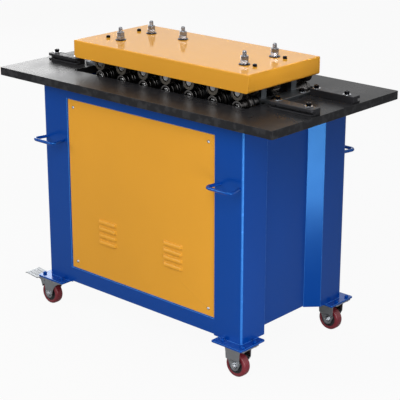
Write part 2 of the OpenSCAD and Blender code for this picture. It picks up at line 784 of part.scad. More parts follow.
module roll(ring_list, core_r) {
    edge = 0.8;
    outline = [for (g = ring_list) let (y0 = roll_y + g[0], y1 = roll_y + g[1]) each [
        [core_r, y0], [max(core_r, g[2] - edge), y0], [max(core_r, g[2]), y0 + edge],
        [max(core_r, g[3]), y1 - edge], [max(core_r, g[3] - edge), y1], [core_r, y1]]];
    bore_r = shaft_d / 2 + run_gap;
    recess_y = roll_y + roll_l - roll_recess;
    last = len(outline) - 1;
    turned_y(concat([[bore_r, roll_y]], [for (i = [0:last - 1]) outline[i]],
        [[roll_recess_d / 2, roll_y + roll_l], [roll_recess_d / 2, recess_y], [bore_r, recess_y]]));
}
module key(d, grow) {
    translate([-key_w / 2 - grow, -gear_w / 2 - grow, (d - key_h) / 2 - grow])
        cube([key_w + 2 * grow, gear_w + 2 * grow, key_h + 2 * grow]);
}
module roll_shaft(ring_list, core_r, phase) {
    mid = plate_in - axial_gap;
    seat_y = roll_y + roll_l - roll_recess;
    nut_af = 20;
    nut_h = 8;
    end_y = seat_y + nut_h + 0.5;
    difference() {
        union() {
            rod_y(shaft_mid_d, -mid, mid);
            rod_y(shaft_d, slack - seat_y, seat_y - slack);
            rod_y(shaft_end_d, -end_y, end_y);
        }
        key(shaft_mid_d, slack);
    }
    key(shaft_mid_d, 0);
    gear(roll_teeth, phase, shaft_mid_d + slack, true);
    both_sides() {
        roll(ring_list, core_r);
        translate([0, seat_y + seat, 0]) rotate([-90, 0, 0]) hex_nut(nut_af, shaft_end_d + slack, nut_h);
    }
}
module lower_roll(k) {
    color("dimgray") translate([roll_x(k), 0, lower_z]) roll_shaft(rings(k), lower_core_r, lower_phase(k));
}
module upper_roll(k) {
    color("gray") translate([roll_x(k), 0, upper_z])
        roll_shaft([for (g = rings(k)) mate(g)], upper_core_r, upper_phase(k));
}

// Drive shaft with its gear, and the hollow output sleeve of the gearmotor
module drive_shaft() {
    mid = plate_in - axial_gap;
    past_reducer = 6;
    color("silver") translate([drive_x, 0, drive_z]) {
        difference() {
            union() {
                rod_y(drive_mid_d, -mid, mid);
                rod_y(drive_shaft_d, -plate_out - bush_flange_t, reducer_y0 + reducer_w + past_reducer);
            }
            key(drive_mid_d, slack);
        }
        key(drive_mid_d, 0);
        gear(drive_teeth, drive_phase, drive_mid_d + slack, true);
        turned_y([[drive_shaft_d / 2 + run_gap, reducer_y0], [sleeve_d / 2, reducer_y0],
            [sleeve_d / 2, reducer_y0 + reducer_w], [drive_shaft_d / 2 + run_gap, reducer_y0 + reducer_w]]);
    }
}

// Worm gearmotor on its beam
module along_x(x, y, z) {
    translate([x, y, z]) rotate([0, 90, 0]) children();
}
module gear_motor() {
    fin_count = 28;
    fin_w = 3;
    fin_h = 7;
    cowl_l = 60;
    worm_case_d = 84;
    flange_d = 120;
    flange_t = 12;
    foot_t = 12;
    rib_w = 60;
    terminal = [90, 90, 26];
    terminal_in = 60;
    color("lightsteelblue") difference() {
        union() {
            // Worm gear case
            translate([drive_x, 0, drive_z]) {
                rod_y(reducer_l, reducer_y0 + 4, reducer_y0 + reducer_w - 4);
                rod_y(sleeve_d + 24, reducer_y0, reducer_y0 + reducer_w);
            }
            translate([drive_x - reducer_l / 2, reducer_y0 + 10, worm_z])
                cube([reducer_l, reducer_w - 20, worm_drop]);
            along_x(drive_x - reducer_l / 2 - 6, reducer_mid_y, worm_z)
                cylinder(d = worm_case_d, h = reducer_l + 14);
            along_x(motor_x0 - flange_t, reducer_mid_y, worm_z) cylinder(d = flange_d, h = flange_t);
            // Foot and its rib
            translate([drive_x - reducer_l / 2, reducer_mid_y - beam_w / 2, beam_top_z])
                cube([reducer_l, beam_w, foot_t]);
            translate([drive_x - reducer_l / 2 + 10, reducer_mid_y - rib_w / 2, beam_top_z])
                cube([reducer_l - 20, rib_w, worm_z - beam_top_z]);
            // Finned motor with fan cowl and terminal box
            along_x(motor_x0, reducer_mid_y, worm_z) {
                cylinder(d = motor_d - 2 * fin_h, h = motor_l);
                linear_extrude(motor_l - cowl_l + fin_h) for (i = [0:fin_count / 2 - 1])
                    rotate(i * 360 / fin_count) square([motor_d, fin_w], center = true);
                translate([0, 0, motor_l - cowl_l]) cylinder(d = motor_d + 2, h = cowl_l);
            }
            translate([motor_x0 + terminal_in, reducer_mid_y - terminal[1] / 2, worm_z])
                cube([terminal[0], terminal[1], motor_d / 2 + terminal[2]]);
        }
        translate([drive_x, 0, drive_z])
            rod_y(sleeve_d + 2 * run_gap, reducer_y0 - cut, reducer_y0 + reducer_w + cut);
    }
}
// Channel that ends on the inner faces of the cabinet's end walls
module motor_beam() {
    color("royalblue") translate([0, 0, beam_top_z - beam_h]) intersection() {
        linear_extrude(beam_h) polygon(cabinet_outline(sheet_t));
        translate([-post_x, reducer_mid_y, 0]) difference() {
            translate([0, -beam_w / 2, 0]) cube([cabinet_l, beam_w, beam_h]);
            translate([-cut, beam_t - beam_w / 2, -cut])
                cube([cabinet_l + 2 * cut, beam_w - 2 * beam_t, beam_h - beam_t + cut]);
        }
    }
}

// Cover and what stands on it
module cover_form() {
    top_r = 3;
    low_r = 9;
    l = cover_x1 - cover_x0;
    intersection() {
        slab_y(concat(
            arc([cover_x1 - top_r, cover_top_z - top_r], top_r, 0, 90, 4),
            arc([cover_x0 + top_r, cover_top_z - top_r], top_r, 90, 180, 4),
            arc([cover_x0 + low_r, cover_z + low_r], low_r, 180, 270, 5),
            arc([cover_x1 - low_r, cover_z + low_r], low_r, 270, 360, 5)), -cover_w / 2, cover_w / 2);
        translate([cover_x0, 0, 0]) rotate([90, 0, 90]) linear_extrude(l) polygon(concat(
            [[-cover_w / 2, cover_z], [cover_w / 2, cover_z]],
            arc([cover_w / 2 - top_r, cover_top_z - top_r], top_r, 0, 90, 4),
            arc([top_r - cover_w / 2, cover_top_z - top_r], top_r, 90, 180, 4)));
    }
}
module head_cover() {
    color("orange") difference() {
        cover_form();
        translate([cover_x0 + cover_t, cover_t - cover_w / 2, cover_z - cut])
            cube([cover_x1 - cover_x0 - 2 * cover_t, cover_w - 2 * cover_t, cover_h - cover_t + cut]);
        stud_places() translate([0, 0, head_top_z - cut]) cylinder(d = stud_d + 1, h = cover_t + 2 * cut);
        cover_screw_places() translate([0, 0, head_top_z - cut])
            cylinder(d = cover_screw_d + 1, h = cover_t + 2 * cut);
    }
}
module cover_screws() {
    head_d = 13;
    head_h = 8;
    edge = 1;
    socket = 6;
    color("black") cover_screw_places() translate([0, 0, cover_top_z]) {
        difference() {
            rotate_extrude() polygon([[0, 0], [head_d / 2, 0], [head_d / 2, head_h - edge],
                [head_d / 2 - edge, head_h], [0, head_h]]);
            translate([0, 0, head_h / 2]) cylinder(d = socket, h = head_h, $fn = 6);
        }
        translate([0, 0, -cover_t - cover_screw_depth])
            cylinder(d = cover_screw_d, h = cover_t + cover_screw_depth);
    }
}
module cover_studs() {
    dome_h = 3;
    slot_w = 2;
    nut_turn = 20;
    color("silver") stud_places() translate([0, 0, cover_top_z]) {
        difference() {
            rotate_extrude() polygon([[0, -cover_t - stud_depth], [stud_d / 2, -cover_t - stud_depth],
                [stud_d / 2, stud_up - dome_h], [stud_d / 2 - dome_h / 2, stud_up], [0, stud_up]]);
            translate([-stud_d, -slot_w / 2, stud_up - dome_h]) cube([2 * stud_d, slot_w, dome_h + cut]);
        }
        washer(stud_washer_d, stud_d + 1, stud_washer_t);
        translate([0, 0, stud_washer_t + seat]) hex_nut(stud_af, stud_d + slack, stud_nut_h);
        translate([0, 0, stud_washer_t + stud_nut_h + 2 * seat]) rotate(nut_turn)
            hex_nut(stud_af, stud_d + slack, stud_nut_h);
    }
}

// Guides: the groove opens away from the middle of the table
module guide(x0, l, bolts) {
    corner = 6;
    edge = 1;
    inner = guide_y - guide_w / 2;
    outer = guide_y + guide_w / 2;
    difference() {
        intersection() {
            translate([x0, 0, table_z]) rotate([90, 0, 90]) linear_extrude(l) polygon([
                [inner, 0], [outer, 0], [outer, groove_up], [outer - groove_d, groove_up],
                [outer - groove_d, groove_up + groove_h], [outer, groove_up + groove_h],
                [outer, guide_h - edge], [outer - edge, guide_h], [inner + edge, guide_h],
                [inner, guide_h - edge]]);
            translate([0, 0, table_z]) linear_extrude(guide_h) polygon([[x0, inner], [x0 + l, inner],
                [x0 + l, outer - corner], [x0 + l - corner, outer], [x0 + corner, outer],
                [x0, outer - corner]]);
        }
        for (x = bolts) translate([x, guide_bolt_y, table_z - cut]) {
            for (sy = [-1, 1]) translate([0, sy * guide_travel, 0])
                cylinder(d = guide_slot_d, h = guide_h + 2 * cut);
            translate([-guide_slot_d / 2, -guide_travel, 0])
                cube([guide_slot_d, 2 * guide_travel, guide_h + 2 * cut]);
        }
    }
}
module guide_in() {
    guide(guide_in_x0, guide_in_l, entry_bolt_x);
}
module guide_out() {
    guide(guide_out_x0, guide_out_l, exit_bolt_x);
}
module front_entry_guide() {
    color("gray") mirror([0, 1, 0]) guide_in();
}
module rear_entry_guide() {
    color("gray") guide_in();
}
module front_exit_guide() {
    color("gray") mirror([0, 1, 0]) guide_out();
}
module rear_exit_guide() {
    color("gray") guide_out();
}
module guide_bolt_places() {
    for (x = concat(entry_bolt_x, exit_bolt_x), sy = [-1, 1]) translate([x, sy * guide_bolt_y, 0]) children();
}
module guide_bolts() {
    head_d = 1.6 * guide_bolt_d;
    socket = 0.8 * guide_bolt_d;
    shank = guide_h + guide_bolt_depth;
    color("black") guide_bolt_places() translate([0, 0, table_z + guide_h]) {
        washer(guide_washer_d, guide_bolt_d + 1, guide_washer_t);
        translate([0, 0, guide_washer_t + seat]) socket_head(head_d, guide_bolt_d, socket);
        translate([0, 0, -shank]) cylinder(d = guide_bolt_d, h = shank + guide_washer_t + cut);
    }
}

// Handles: a bent rod welded to each post, as rings along a path in the XY plane
function handle_half(l, lean, flare, r) =
    let (turn = 90 + flare, leg = lean / cos(flare) - r * tan(turn / 2),
        centre = [l / 2 + leg * sin(flare) - r * cos(flare), leg * cos(flare) + r * sin(flare)])
    concat([[l / 2, 0]], arc(centre, r, -flare, 90, 7));
function heading(path, i) = (path[i + 1] - path[i]) / norm(path[i + 1] - path[i]);
// Each ring lies in the mitre plane of its bend, and the first and last lie in the face that they meet
function ring(path, i, r, sides) =
    let (last = len(path) - 1, before = heading(path, max(i - 1, 0)), after = heading(path, min(i, last - 1)),
        sum = before + after,
        across = i == 0 || i == last ? [1 / before[1], 0] : 2 * [sum[1], -sum[0]] / (sum * sum))
    [for (s = [0:sides - 1]) let (a = s * 360 / sides)
        [path[i][0] + r * cos(a) * across[0], path[i][1] + r * cos(a) * across[1], r * sin(a)]];
module swept_rod(path, r, sides) {
    rings = len(path);
    polyhedron(
        points = [for (i = [0:rings - 1]) each ring(path, i, r, sides)],
        faces = concat(
            [[for (s = [0:sides - 1]) s]],
            [for (i = [0:rings - 2], s = [0:sides - 1]) let (n = (s + 1) % sides)
                [i * sides + s, (i + 1) * sides + s, (i + 1) * sides + n, i * sides + n]],
            [[for (s = [sides - 1:-1:0]) (rings - 1) * sides + s]]));
}
module carry_handles() {
    handle_x = post_x - 53;
    r_bend = 16;
    sides = 12;
    half = handle_half(handle_l, handle_out - handle_d / 2, handle_flare, r_bend);
    color("royalblue") for (sx = [-1, 1]) both_sides()
        translate([sx * handle_x, post_y, cabinet_z + handle_up])
            swept_rod(concat(half, flip_x(half)), handle_d / 2, sides);
}

// Castors, drawn round their swivel or mounting axis, with the floor at height 0
module castor_base() {
    corner_r = 8;
    translate([0, 0, castor_plate_z]) linear_extrude(castor_plate_t) difference() {
        polygon(rounded(castor_plate_l, castor_plate_w, corner_r));
        four_corners(castor_bolt_x / 2, castor_bolt_y / 2) circle(d = castor_bolt_d + 1);
    }
}
module castor_bolts() {
    head_h = 5.3;
    nut_h = 6.5;
    af = 13;
    past_nut = 2.5;
    color("silver") four_corners(castor_x, castor_y) four_corners(castor_bolt_x / 2, castor_bolt_y / 2) {
        translate([0, 0, castor_h + foot_t]) hex_nut(af, castor_bolt_d + slack, nut_h);
        translate([0, 0, castor_plate_z - head_h]) hex_head(af, head_h);
        translate([0, 0, castor_plate_z - cut])
            cylinder(d = castor_bolt_d, h = castor_plate_t + foot_t + cut + nut_h + past_nut);
    }
}
module fork_end(axle_x) {
    difference() {
        union() {
            children();
            translate([axle_x, 0, axle_z]) rod_y(2 * fork_end_r, fork_in, fork_out);
        }
        translate([axle_x, 0, axle_z]) rod_y(castor_axle_d + slack, 0, fork_out + cut);
    }
}
module axle_bolt(axle_x) {
    nut_af = 18;
    nut_h = 6;
    past_nut = 2;
    translate([axle_x, 0, axle_z]) {
        rod_y(castor_axle_d, -fork_out - nut_h - past_nut, fork_out + nut_h + past_nut);
        both_sides() translate([0, fork_out + seat, 0]) rotate([-90, 0, 0])
            hex_nut(nut_af, castor_axle_d + slack, nut_h);
    }
}
function rigid_leg() =
    let (half = fork_top_l / 2, tangent = -25,
        edge = concat(
            bend([half, castor_plate_z - fork_t], [half - 6, castor_h - 17], [half - 6, castor_h - 37], 4),
            [[half - 7, axle_z + fork_end_r], [0, axle_z] + fork_end_r * [cos(tangent), sin(tangent)]]))
    concat(edge, flip_x(edge));
// A pressed cheek: wide apart over the wheel and drawn in to the hub below
module drawn_leg() {
    wide = fork_wide + fork_t;
    draw_z = axle_z + fork_end_r - 3;
    draw_h = 11;
    intersection() {
        slab_y(rigid_leg(), fork_in, wide);
        translate([-fork_top_l / 2 - cut, 0, 0]) rotate([90, 0, 90]) linear_extrude(fork_top_l + 2 * cut)
            polygon([[fork_in, 0], [fork_out, 0], [fork_out, draw_z], [wide, draw_z + draw_h],
                [wide, castor_h], [fork_wide, castor_h], [fork_wide, draw_z + draw_h], [fork_in, draw_z]]);
    }
}
module rigid_fork() {
    wide = fork_wide + fork_t;
    castor_base();
    both_sides() fork_end(0) drawn_leg();
    translate([-fork_top_l / 2, -wide, castor_plate_z - fork_t]) cube([fork_top_l, 2 * wide, fork_t]);
    axle_bolt(0);
}
module rigid_forks() {
    color("silver") both_sides() translate([castor_x, castor_y, 0]) rigid_fork();
}
module swivel_plates() {
    race_r = 35;
    rivet_z = fork_top_z - bowl_t - axial_gap - rivet_h;
    color("silver") both_sides() translate([-castor_x, castor_y, 0]) {
        castor_base();
        translate([0, 0, castor_plate_z - raceway_h]) rotate_extrude() polygon(concat([[0, 0]],
            bend([race_r - 6, 0], [race_r, raceway_h], [race_r, raceway_h], 4), [[0, raceway_h]]));
        translate([0, 0, rivet_z]) cylinder(d = kingpin_d, h = castor_plate_z - rivet_z);
        translate([0, 0, rivet_z]) cylinder(d = kingpin_d + 10, h = rivet_h);
    }
}
function swivel_leg() =
    let (px = pedal_pivot[0], pz = pedal_pivot[1], rear = -castor_trail - fork_end_r,
        under_bowl = fork_top_z - fork_t)
    concat([[rear, axle_z]],
        bend([rear, axle_z + 14], [rear - 3, pz - 14], [px - 9, pz - 5], 3),
        [[px - 9, under_bowl], [bowl_r, under_bowl]],
        bend([bowl_r - 2, under_bowl - 7], [-10, under_bowl - 11], [-castor_trail + fork_end_r, axle_z], 6));
module swivel_fork() {
    web_x0 = pedal_pivot[0] + 12;
    difference() {
        union() {
            translate([0, 0, fork_top_z - bowl_t]) cylinder(r = bowl_r, h = bowl_t);
            translate([web_x0, -fork_out, fork_top_z - bowl_t]) cube([bowl_r - web_x0, 2 * fork_out, fork_t]);
            both_sides() fork_end(-castor_trail) slab_y(swivel_leg(), fork_in, fork_out);
        }
        translate([0, 0, fork_top_z - bowl_t - cut])
            cylinder(d = kingpin_d + 2 * run_gap, h = bowl_t + 2 * cut);
        translate([pedal_pivot[0], 0, pedal_pivot[1]])
            rod_y(pedal_pin_d + 2 * run_gap, -fork_out - cut, fork_out + cut);
    }
    axle_bolt(-castor_trail);
}
module front_swivel_fork() {
    color("silver") translate([-castor_x, -castor_y, 0]) swivel_fork();
}
module rear_swivel_fork() {
    color("silver") translate([-castor_x, castor_y, 0]) swivel_fork();
}

// Brake pedal, drawn round its pin: the shoe bears on the tread and the step plate points outwards
module brake_pedal() {
    arm_half = fork_in - 1;
    hub_d = 12;
    past_fork = 2;
    rib_w = 4;
    rib_h = 2;
    wheel_at = [-castor_trail, axle_z] - pedal_pivot;
    shoe_from = 138;
    shoe_to = 156;
    shoe = arc(wheel_at, wheel_d / 2 + brake_gap, shoe_from, shoe_to, 4);
    color("silver") translate([pedal_pivot[0], 0, pedal_pivot[1]]) {
        rod_y(hub_d, -arm_half, arm_half);
        rod_y(pedal_pin_d, -fork_out - past_fork, fork_out + past_fork);
        slab_y(concat([[-1, -5]], shoe, [[-23, -6], [-41, 2], [-41, 5.5], [-1, 5.5]]), -arm_half, arm_half);
        // Step plate with a turned-down lip and three ribs
        slab_y([[-25, 2.5], [-81, 8.5], [-86, 6], [-87.5, 8.5], [-82, 12], [-25, 5.5]],
            -pedal_w / 2, pedal_w / 2);
        for (y = [-pedal_w / 4, 0, pedal_w / 4])
            slab_y([[-37, 6], [-75, 10.3], [-75, 10.3 + rib_h], [-37, 6 + rib_h]],
                y - rib_w / 2, y + rib_w / 2);
    }
}
module front_brake_pedal() {
    translate([-castor_x, -castor_y, 0]) brake_pedal();
}
module rear_brake_pedal() {
    translate([-castor_x, castor_y, 0]) brake_pedal();
}

module wheel() {
    r = wheel_d / 2;
    tread_r = r - 13;
    rim_r = tread_r - slack;
    web_r = rim_r - 4;
    shoulder = 9;
    half = wheel_w / 2;
    hub_r = 14;
    hub_half = half + 1;
    bore_r = castor_axle_d / 2 + run_gap;
    color("darkred") turned_y(concat([[tread_r, 1 - half]],
        bend([r - shoulder, -half], [r, -half], [r, shoulder - half], 4),
        bend([r, half - shoulder], [r, half], [r - shoulder, half], 4), [[tread_r, half - 1]]));
    color("dimgray") turned_y([[bore_r, -hub_half], [hub_r - 1, -hub_half], [hub_r, -half], [hub_r, 4 - half],
        [web_r, 5 - half], [web_r + 1, 2 - half], [rim_r, 2 - half], [rim_r, half - 2], [web_r + 1, half - 2],
        [web_r, half - 5], [hub_r, half - 4], [hub_r, half], [hub_r - 1, hub_half], [bore_r, hub_half]]);
}
module front_fixed_wheel() {
    translate([castor_x, -castor_y, axle_z]) wheel();
}
module rear_fixed_wheel() {
    translate([castor_x, castor_y, axle_z]) wheel();
}
module front_swivel_wheel() {
    translate([-castor_x - castor_trail, -castor_y, axle_z]) wheel();
}
module rear_swivel_wheel() {
    translate([-castor_x - castor_trail, castor_y, axle_z]) wheel();
}

// Control box on the hidden feed-in end
module control_box() {
    corner_r = 6;
    gland_h = 22;
    gland_hex_h = 8;
    hole_depth = 12;
    wall_in = 9;
    gland_x = -end_x - box_d / 2;
    color("lightgray") difference() {
        union() {
            translate([-end_x, 0, box_z + box_h / 2]) rotate([0, -90, 0]) linear_extrude(box_d)
                polygon(rounded(box_h, box_l, corner_r));
            translate([gland_x, 0, box_z - gland_h]) {
                cylinder(d = gland_d, h = gland_hex_h, $fn = 6);
                translate([0, 0, gland_hex_h - 2]) cylinder(d = gland_d - 3, h = gland_h - gland_hex_h + 4);
            }
        }
        for (y = [start_y, stop_y]) translate([-end_x - box_d, y, button_z]) rotate([0, 90, 0])
            translate([0, 0, -cut]) cylinder(d = button_d + 0.4, h = hole_depth + cut);
        translate([gland_x, 0, box_z - gland_h - cut]) cylinder(d = cable_d, h = gland_h + wall_in + cut);
    }
}
module button(y, cap_d, cap_h) {
    stem_l = 12;
    cap_z = button_travel + 0.5;
    translate([-end_x - box_d, y, button_z]) rotate([0, -90, 0]) {
        translate([0, 0, cap_z - stem_l]) cylinder(d = button_d, h = stem_l);
        translate([0, 0, cap_z - slack]) rotate_extrude() polygon(concat([[0, 0], [cap_d / 2, 0]],
            bend([cap_d / 2, cap_h * 0.6], [cap_d / 2, cap_h], [0, cap_h], 5)));
    }
}
module start_button() {
    color("green") button(start_y, button_d, 3);
}
module stop_button() {
    color("red") button(stop_y, button_d + 12, 14);
}

cabinet();
front_panel();
rear_panel();
panel_screws();
table_top();
table_bolts();
lower_housing();
lower_bushes();
idler_pins();
head_bolts();
clamp_screws();
guide_bolts();
carry_handles();
castor_bolts();
rigid_forks();
swivel_plates();
gear_motor();
motor_beam();
control_box();
upper_housing();
upper_bushes();
head_cover();
cover_screws();
cover_studs();
for (k = [1:7]) lower_roll(k - 1);
for (k = [1:7]) upper_roll(k - 1);
for (k = [1:6]) idler_gear(k - 1);
transfer_gear();
drive_shaft();
front_fixed_wheel();
rear_fixed_wheel();
front_swivel_wheel();
rear_swivel_wheel();
front_swivel_fork();
rear_swivel_fork();
front_brake_pedal();
rear_brake_pedal();
front_entry_guide();
rear_entry_guide();
front_exit_guide();
rear_exit_guide();
start_button();
stop_button();
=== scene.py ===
"""Finishes, small parts and studio stage of a duct seam closing machine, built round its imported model."""

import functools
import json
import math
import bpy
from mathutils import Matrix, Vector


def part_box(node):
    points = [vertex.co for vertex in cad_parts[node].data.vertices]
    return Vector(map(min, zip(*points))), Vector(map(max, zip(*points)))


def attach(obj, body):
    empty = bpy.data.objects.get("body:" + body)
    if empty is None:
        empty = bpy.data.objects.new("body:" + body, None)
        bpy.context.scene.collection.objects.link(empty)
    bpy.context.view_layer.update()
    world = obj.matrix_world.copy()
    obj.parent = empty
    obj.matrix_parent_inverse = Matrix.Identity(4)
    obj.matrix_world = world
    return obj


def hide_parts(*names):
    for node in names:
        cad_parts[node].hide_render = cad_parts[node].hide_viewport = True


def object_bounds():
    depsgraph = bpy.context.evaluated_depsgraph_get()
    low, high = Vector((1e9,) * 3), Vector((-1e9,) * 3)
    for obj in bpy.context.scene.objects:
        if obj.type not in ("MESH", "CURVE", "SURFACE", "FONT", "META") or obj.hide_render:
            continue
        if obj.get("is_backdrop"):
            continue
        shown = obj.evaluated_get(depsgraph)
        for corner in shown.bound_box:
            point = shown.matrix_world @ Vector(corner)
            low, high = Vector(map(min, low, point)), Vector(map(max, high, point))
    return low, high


bl_info = {
    "name": "Duct seam closing machine",
    "version": (1, 0, 0),
    "blender": (4, 5, 0),
    "location": "3D View > Sidebar > Seam Machine",
    "description": "Finishes and small parts of a roll-forming machine for duct seams",
    "category": "Add Mesh",
}

import bmesh
import bpy
from bpy.props import FloatProperty, FloatVectorProperty, IntProperty, PointerProperty
from bpy.types import Operator, Panel, PropertyGroup
from mathutils import Matrix, Vector

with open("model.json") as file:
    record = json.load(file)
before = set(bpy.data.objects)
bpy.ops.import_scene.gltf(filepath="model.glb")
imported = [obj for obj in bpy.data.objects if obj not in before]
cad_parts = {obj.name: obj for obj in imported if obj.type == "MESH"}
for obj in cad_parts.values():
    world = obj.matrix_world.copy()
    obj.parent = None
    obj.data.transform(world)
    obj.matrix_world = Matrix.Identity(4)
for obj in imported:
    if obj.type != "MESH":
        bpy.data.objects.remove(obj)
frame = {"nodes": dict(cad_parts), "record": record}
cad_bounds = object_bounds()

BODY_OF = {node: body for body, nodes in frame["record"]["behaviour"]["bodies"].items() for node in nodes}
SLOT_OF = {row["node"]: row["material_slot"] for row in frame["record"]["subparts"]}
SIDES = ("front", "rear")
ROLL_COUNT = 7
IDLER_COUNT = 6

# Distances in metres within which two points are one, and two faces are level
MERGE_DISTANCE = 1e-5
LEVEL_DISTANCE = 0.001

# Angles between two faces: they are joined below the first, their edge is sharp above the second, and it is
# rounded above the third
FLAT_ANGLE = math.radians(0.5)
SHARP_ANGLE = math.radians(32)
ROUND_ANGLE = math.radians(35)

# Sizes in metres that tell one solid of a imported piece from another
WASHER_HEIGHT = 0.004
STUD_WASHER_HEIGHT = 0.006
STUD_LENGTH = 0.05
AXLE_HEIGHT = 0.03
NUT_LENGTH = 0.0095
HUB_RADIUS = 0.0275
SHAFT_SHARE = 0.9

# The cabinet's front and rear reach FACE_DEPTH in from its panels. Edges there longer than LIP_LENGTH are
# lips, if they lie no further out than LIP_MARGIN beside the front panel. Faces there larger than FOLD_AREA
# are folds, if their normal leans more than FOLD_SLOPE both ways. The folds and the rounded lips get a
# lighter blue that is a painted highlight.
FACE_DEPTH = 0.012
LIP_LENGTH = 0.05
LIP_MARGIN = 0.01
FOLD_AREA = 0.001
FOLD_SLOPE = 0.4

# Share of a screw head's height that carries ribs, and length of a stud's end without a thread
KNURLED_SHARE = 0.85
PLAIN_END = 0.003


def paint(red, green, blue):
    """Scene-linear colour of a screen colour given from 0 to 255, by the sRGB curve."""
    shares = (value / 255 for value in (red, green, blue))
    return tuple(v / 12.92 if v <= 0.04045 else ((v + 0.055) / 1.055) ** 2.4 for v in shares)


# Sizes and colours that a user would change


def colour_property(name, description, screen_colour):
    """A colour setting, with its default given as a screen colour."""
    default = paint(*screen_colour)
    return FloatVectorProperty(
        name=name, description=description, default=default, subtype="COLOR", size=3, min=0, max=1
    )


def length_property(name, description, default):
    """A length setting in metres, fine enough for a thread."""
    return FloatProperty(name=name, description=description, default=default, min=0, unit="LENGTH", precision=5)


class PaintSettings(PropertyGroup):
    blue: colour_property("Cabinet blue", "Powder coat of the cabinet and handles", (2, 58, 142))
    # Painted highlight: a lighter blue in place of the bright reflections along the cabinet's folds and edges
    blue_highlight: colour_property("Edge blue", "Lighter coat on the edges of the blue sheet", (50, 112, 194))
    blue_shine: colour_property("Blue shine", "Tint of the reflections in the blue coat", (96, 178, 255))
    orange: colour_property("Panel orange", "Powder coat of the panels and the cover", (223, 157, 47))
    table: colour_property("Table black", "Paint of the table plate", (30, 30, 32))
    motor: colour_property("Motor grey", "Paint of the gearmotor", (112, 128, 140))
    box: colour_property("Box grey", "Paint of the control box", (188, 190, 186))
    grain: length_property("Coat grain", "Size of the fine waves in a powder coat", 0.0024)
    level: FloatProperty(
        name="Coat gloss", description="Specular level of the powder coats", default=0.2, min=0, max=1
    )


class MetalSettings(PropertyGroup):
    bright: colour_property("Bright steel", "Washers, screws and turned pins", (176, 178, 182))
    stud: colour_property("Stud steel", "Studs and their nuts", (142, 144, 150))
    zinc: colour_property("Zinc", "Plated castor brackets and plates", (150, 153, 156))
    blackened: colour_property("Black oxide", "Socket screws", (22, 22, 26))
    blued: colour_property("Blued steel", "Wide washers under the studs' nuts", (38, 42, 56))
    lower_roll: colour_property("Lower rolls", "Blackened hard steel", (84, 82, 81))
    upper_roll: colour_property("Upper rolls", "Ground hard steel", (98, 93, 86))
    roll_nut: colour_property("Roll nuts", "Bright nuts at the roll ends", (156, 156, 156))
    casting: colour_property("Head plates", "Oiled plates of the roll head", (104, 108, 112))
    guide: colour_property("Guides", "Blackened milled steel", (40, 40, 43))
    bronze: colour_property("Bronze", "Shaft bushes", (190, 140, 70))
    tread: colour_property("Wheel tread", "Polyurethane tread of the castors", (116, 34, 44))
    hub: colour_property("Wheel hub", "Moulded core of the castor wheels", (30, 29, 31))


class DetailSettings(PropertyGroup):
    edge: length_property("Edge round", "Radius that softens a sheet or plate edge", 0.0006)
    lip: length_property("Lip radius", "Rounding of the lips of the cabinet's openings", 0.0016)
    thread_pitch: length_property("Thread pitch", "Pitch of the studs' threads", 0.0018)
    thread_depth: length_property("Thread depth", "Height of a thread above its core", 0.0005)
    knurls: IntProperty(name="Knurls", description="Ribs round a socket screw's head", default=36, min=8, max=80)
    knurl: length_property("Knurl size", "Width of a rib round a socket screw's head", 0.0006)
    lathe_pitch: length_property("Lathe pitch", "Distance between turning marks", 0.0007)


class StageSettings(PropertyGroup):
    azimuth: FloatProperty(
        name="Camera azimuth", description="Angle of the camera from the front, towards the delivery end",
        default=math.radians(42.12), subtype="ANGLE",
    )
    elevation: FloatProperty(
        name="Camera elevation", description="Angle of the camera above the floor",
        default=math.radians(18.89), subtype="ANGLE",
    )
    distance: length_property("Camera distance", "Distance of the camera from its target", 4.40627)
    target: FloatVectorProperty(
        name="Camera target", description="Point that the camera looks at", size=3, unit="LENGTH",
        default=(0.03589, 0.0, 0.43912),
    )
    lens: FloatProperty(name="Lens", description="Focal length for a 36 mm sensor", default=117.12, min=1)
    floor: length_property("Floor size", "Side of the square floor", 60.0)


SETTINGS = {
    "seam_paint": PaintSettings,
    "seam_metal": MetalSettings,
    "seam_detail": DetailSettings,
    "seam_stage": StageSettings,
}


# Node trees

COLOUR = "NodeSocketColor"
NUMBER = "NodeSocketFloat"

# Range in which most of a noise lies, and how much of it the soft border of rubbed paint takes
NOISE_RANGE = (0.3, 0.7)
RUBBED_BORDER = 0.08

# Broad waves under a coat's fine ones: how many for one fine wave, and their share of the height
BROAD_WAVES = 0.12
BROAD_SHARE = 0.3

# Turning marks: how fast they follow the length beside the radius, and how many broad bands for one mark
LATHE_SLANT = 0.83
LATHE_BANDS = 0.15


def add_node(tree, kind, inputs=None, **settings):
    """Adds a node. inputs maps a socket's name or number to a value, or to another node's socket."""
    node = tree.nodes.new(kind)
    for key, value in settings.items():
        setattr(node, key, value)
    for key, value in (inputs or {}).items():
        if isinstance(value, bpy.types.NodeSocket):
            tree.links.new(value, node.inputs[key])
        else:
            node.inputs[key].default_value = value
    return node


def math_node(tree, operation, first, second, clamp=False):
    """The result of a sum on two values, each a number or another node's socket."""
    node = add_node(tree, "ShaderNodeMath", {0: first, 1: second}, operation=operation, use_clamp=clamp)
    return node.outputs[0]


def new_group(name, kind, inputs, outputs):
    """A node group with named sockets, its input sockets by name and its output node."""
    tree = bpy.data.node_groups.new(name, kind)
    for label, socket_type, default in inputs:
        socket = tree.interface.new_socket(label, in_out="INPUT", socket_type=socket_type)
        if default is not None:
            socket.default_value = default
    for label, socket_type in outputs:
        tree.interface.new_socket(label, in_out="OUTPUT", socket_type=socket_type)
    entry = tree.nodes.new("NodeGroupInput")
    return tree, entry.outputs, tree.nodes.new("NodeGroupOutput")


def shared(name):
    """Lets a function build a node group on its first call and find it by its name on later ones."""
    def wrap(build):
        @functools.wraps(build)
        def find():
            return bpy.data.node_groups.get(name) or build(name)
        return find
    return wrap


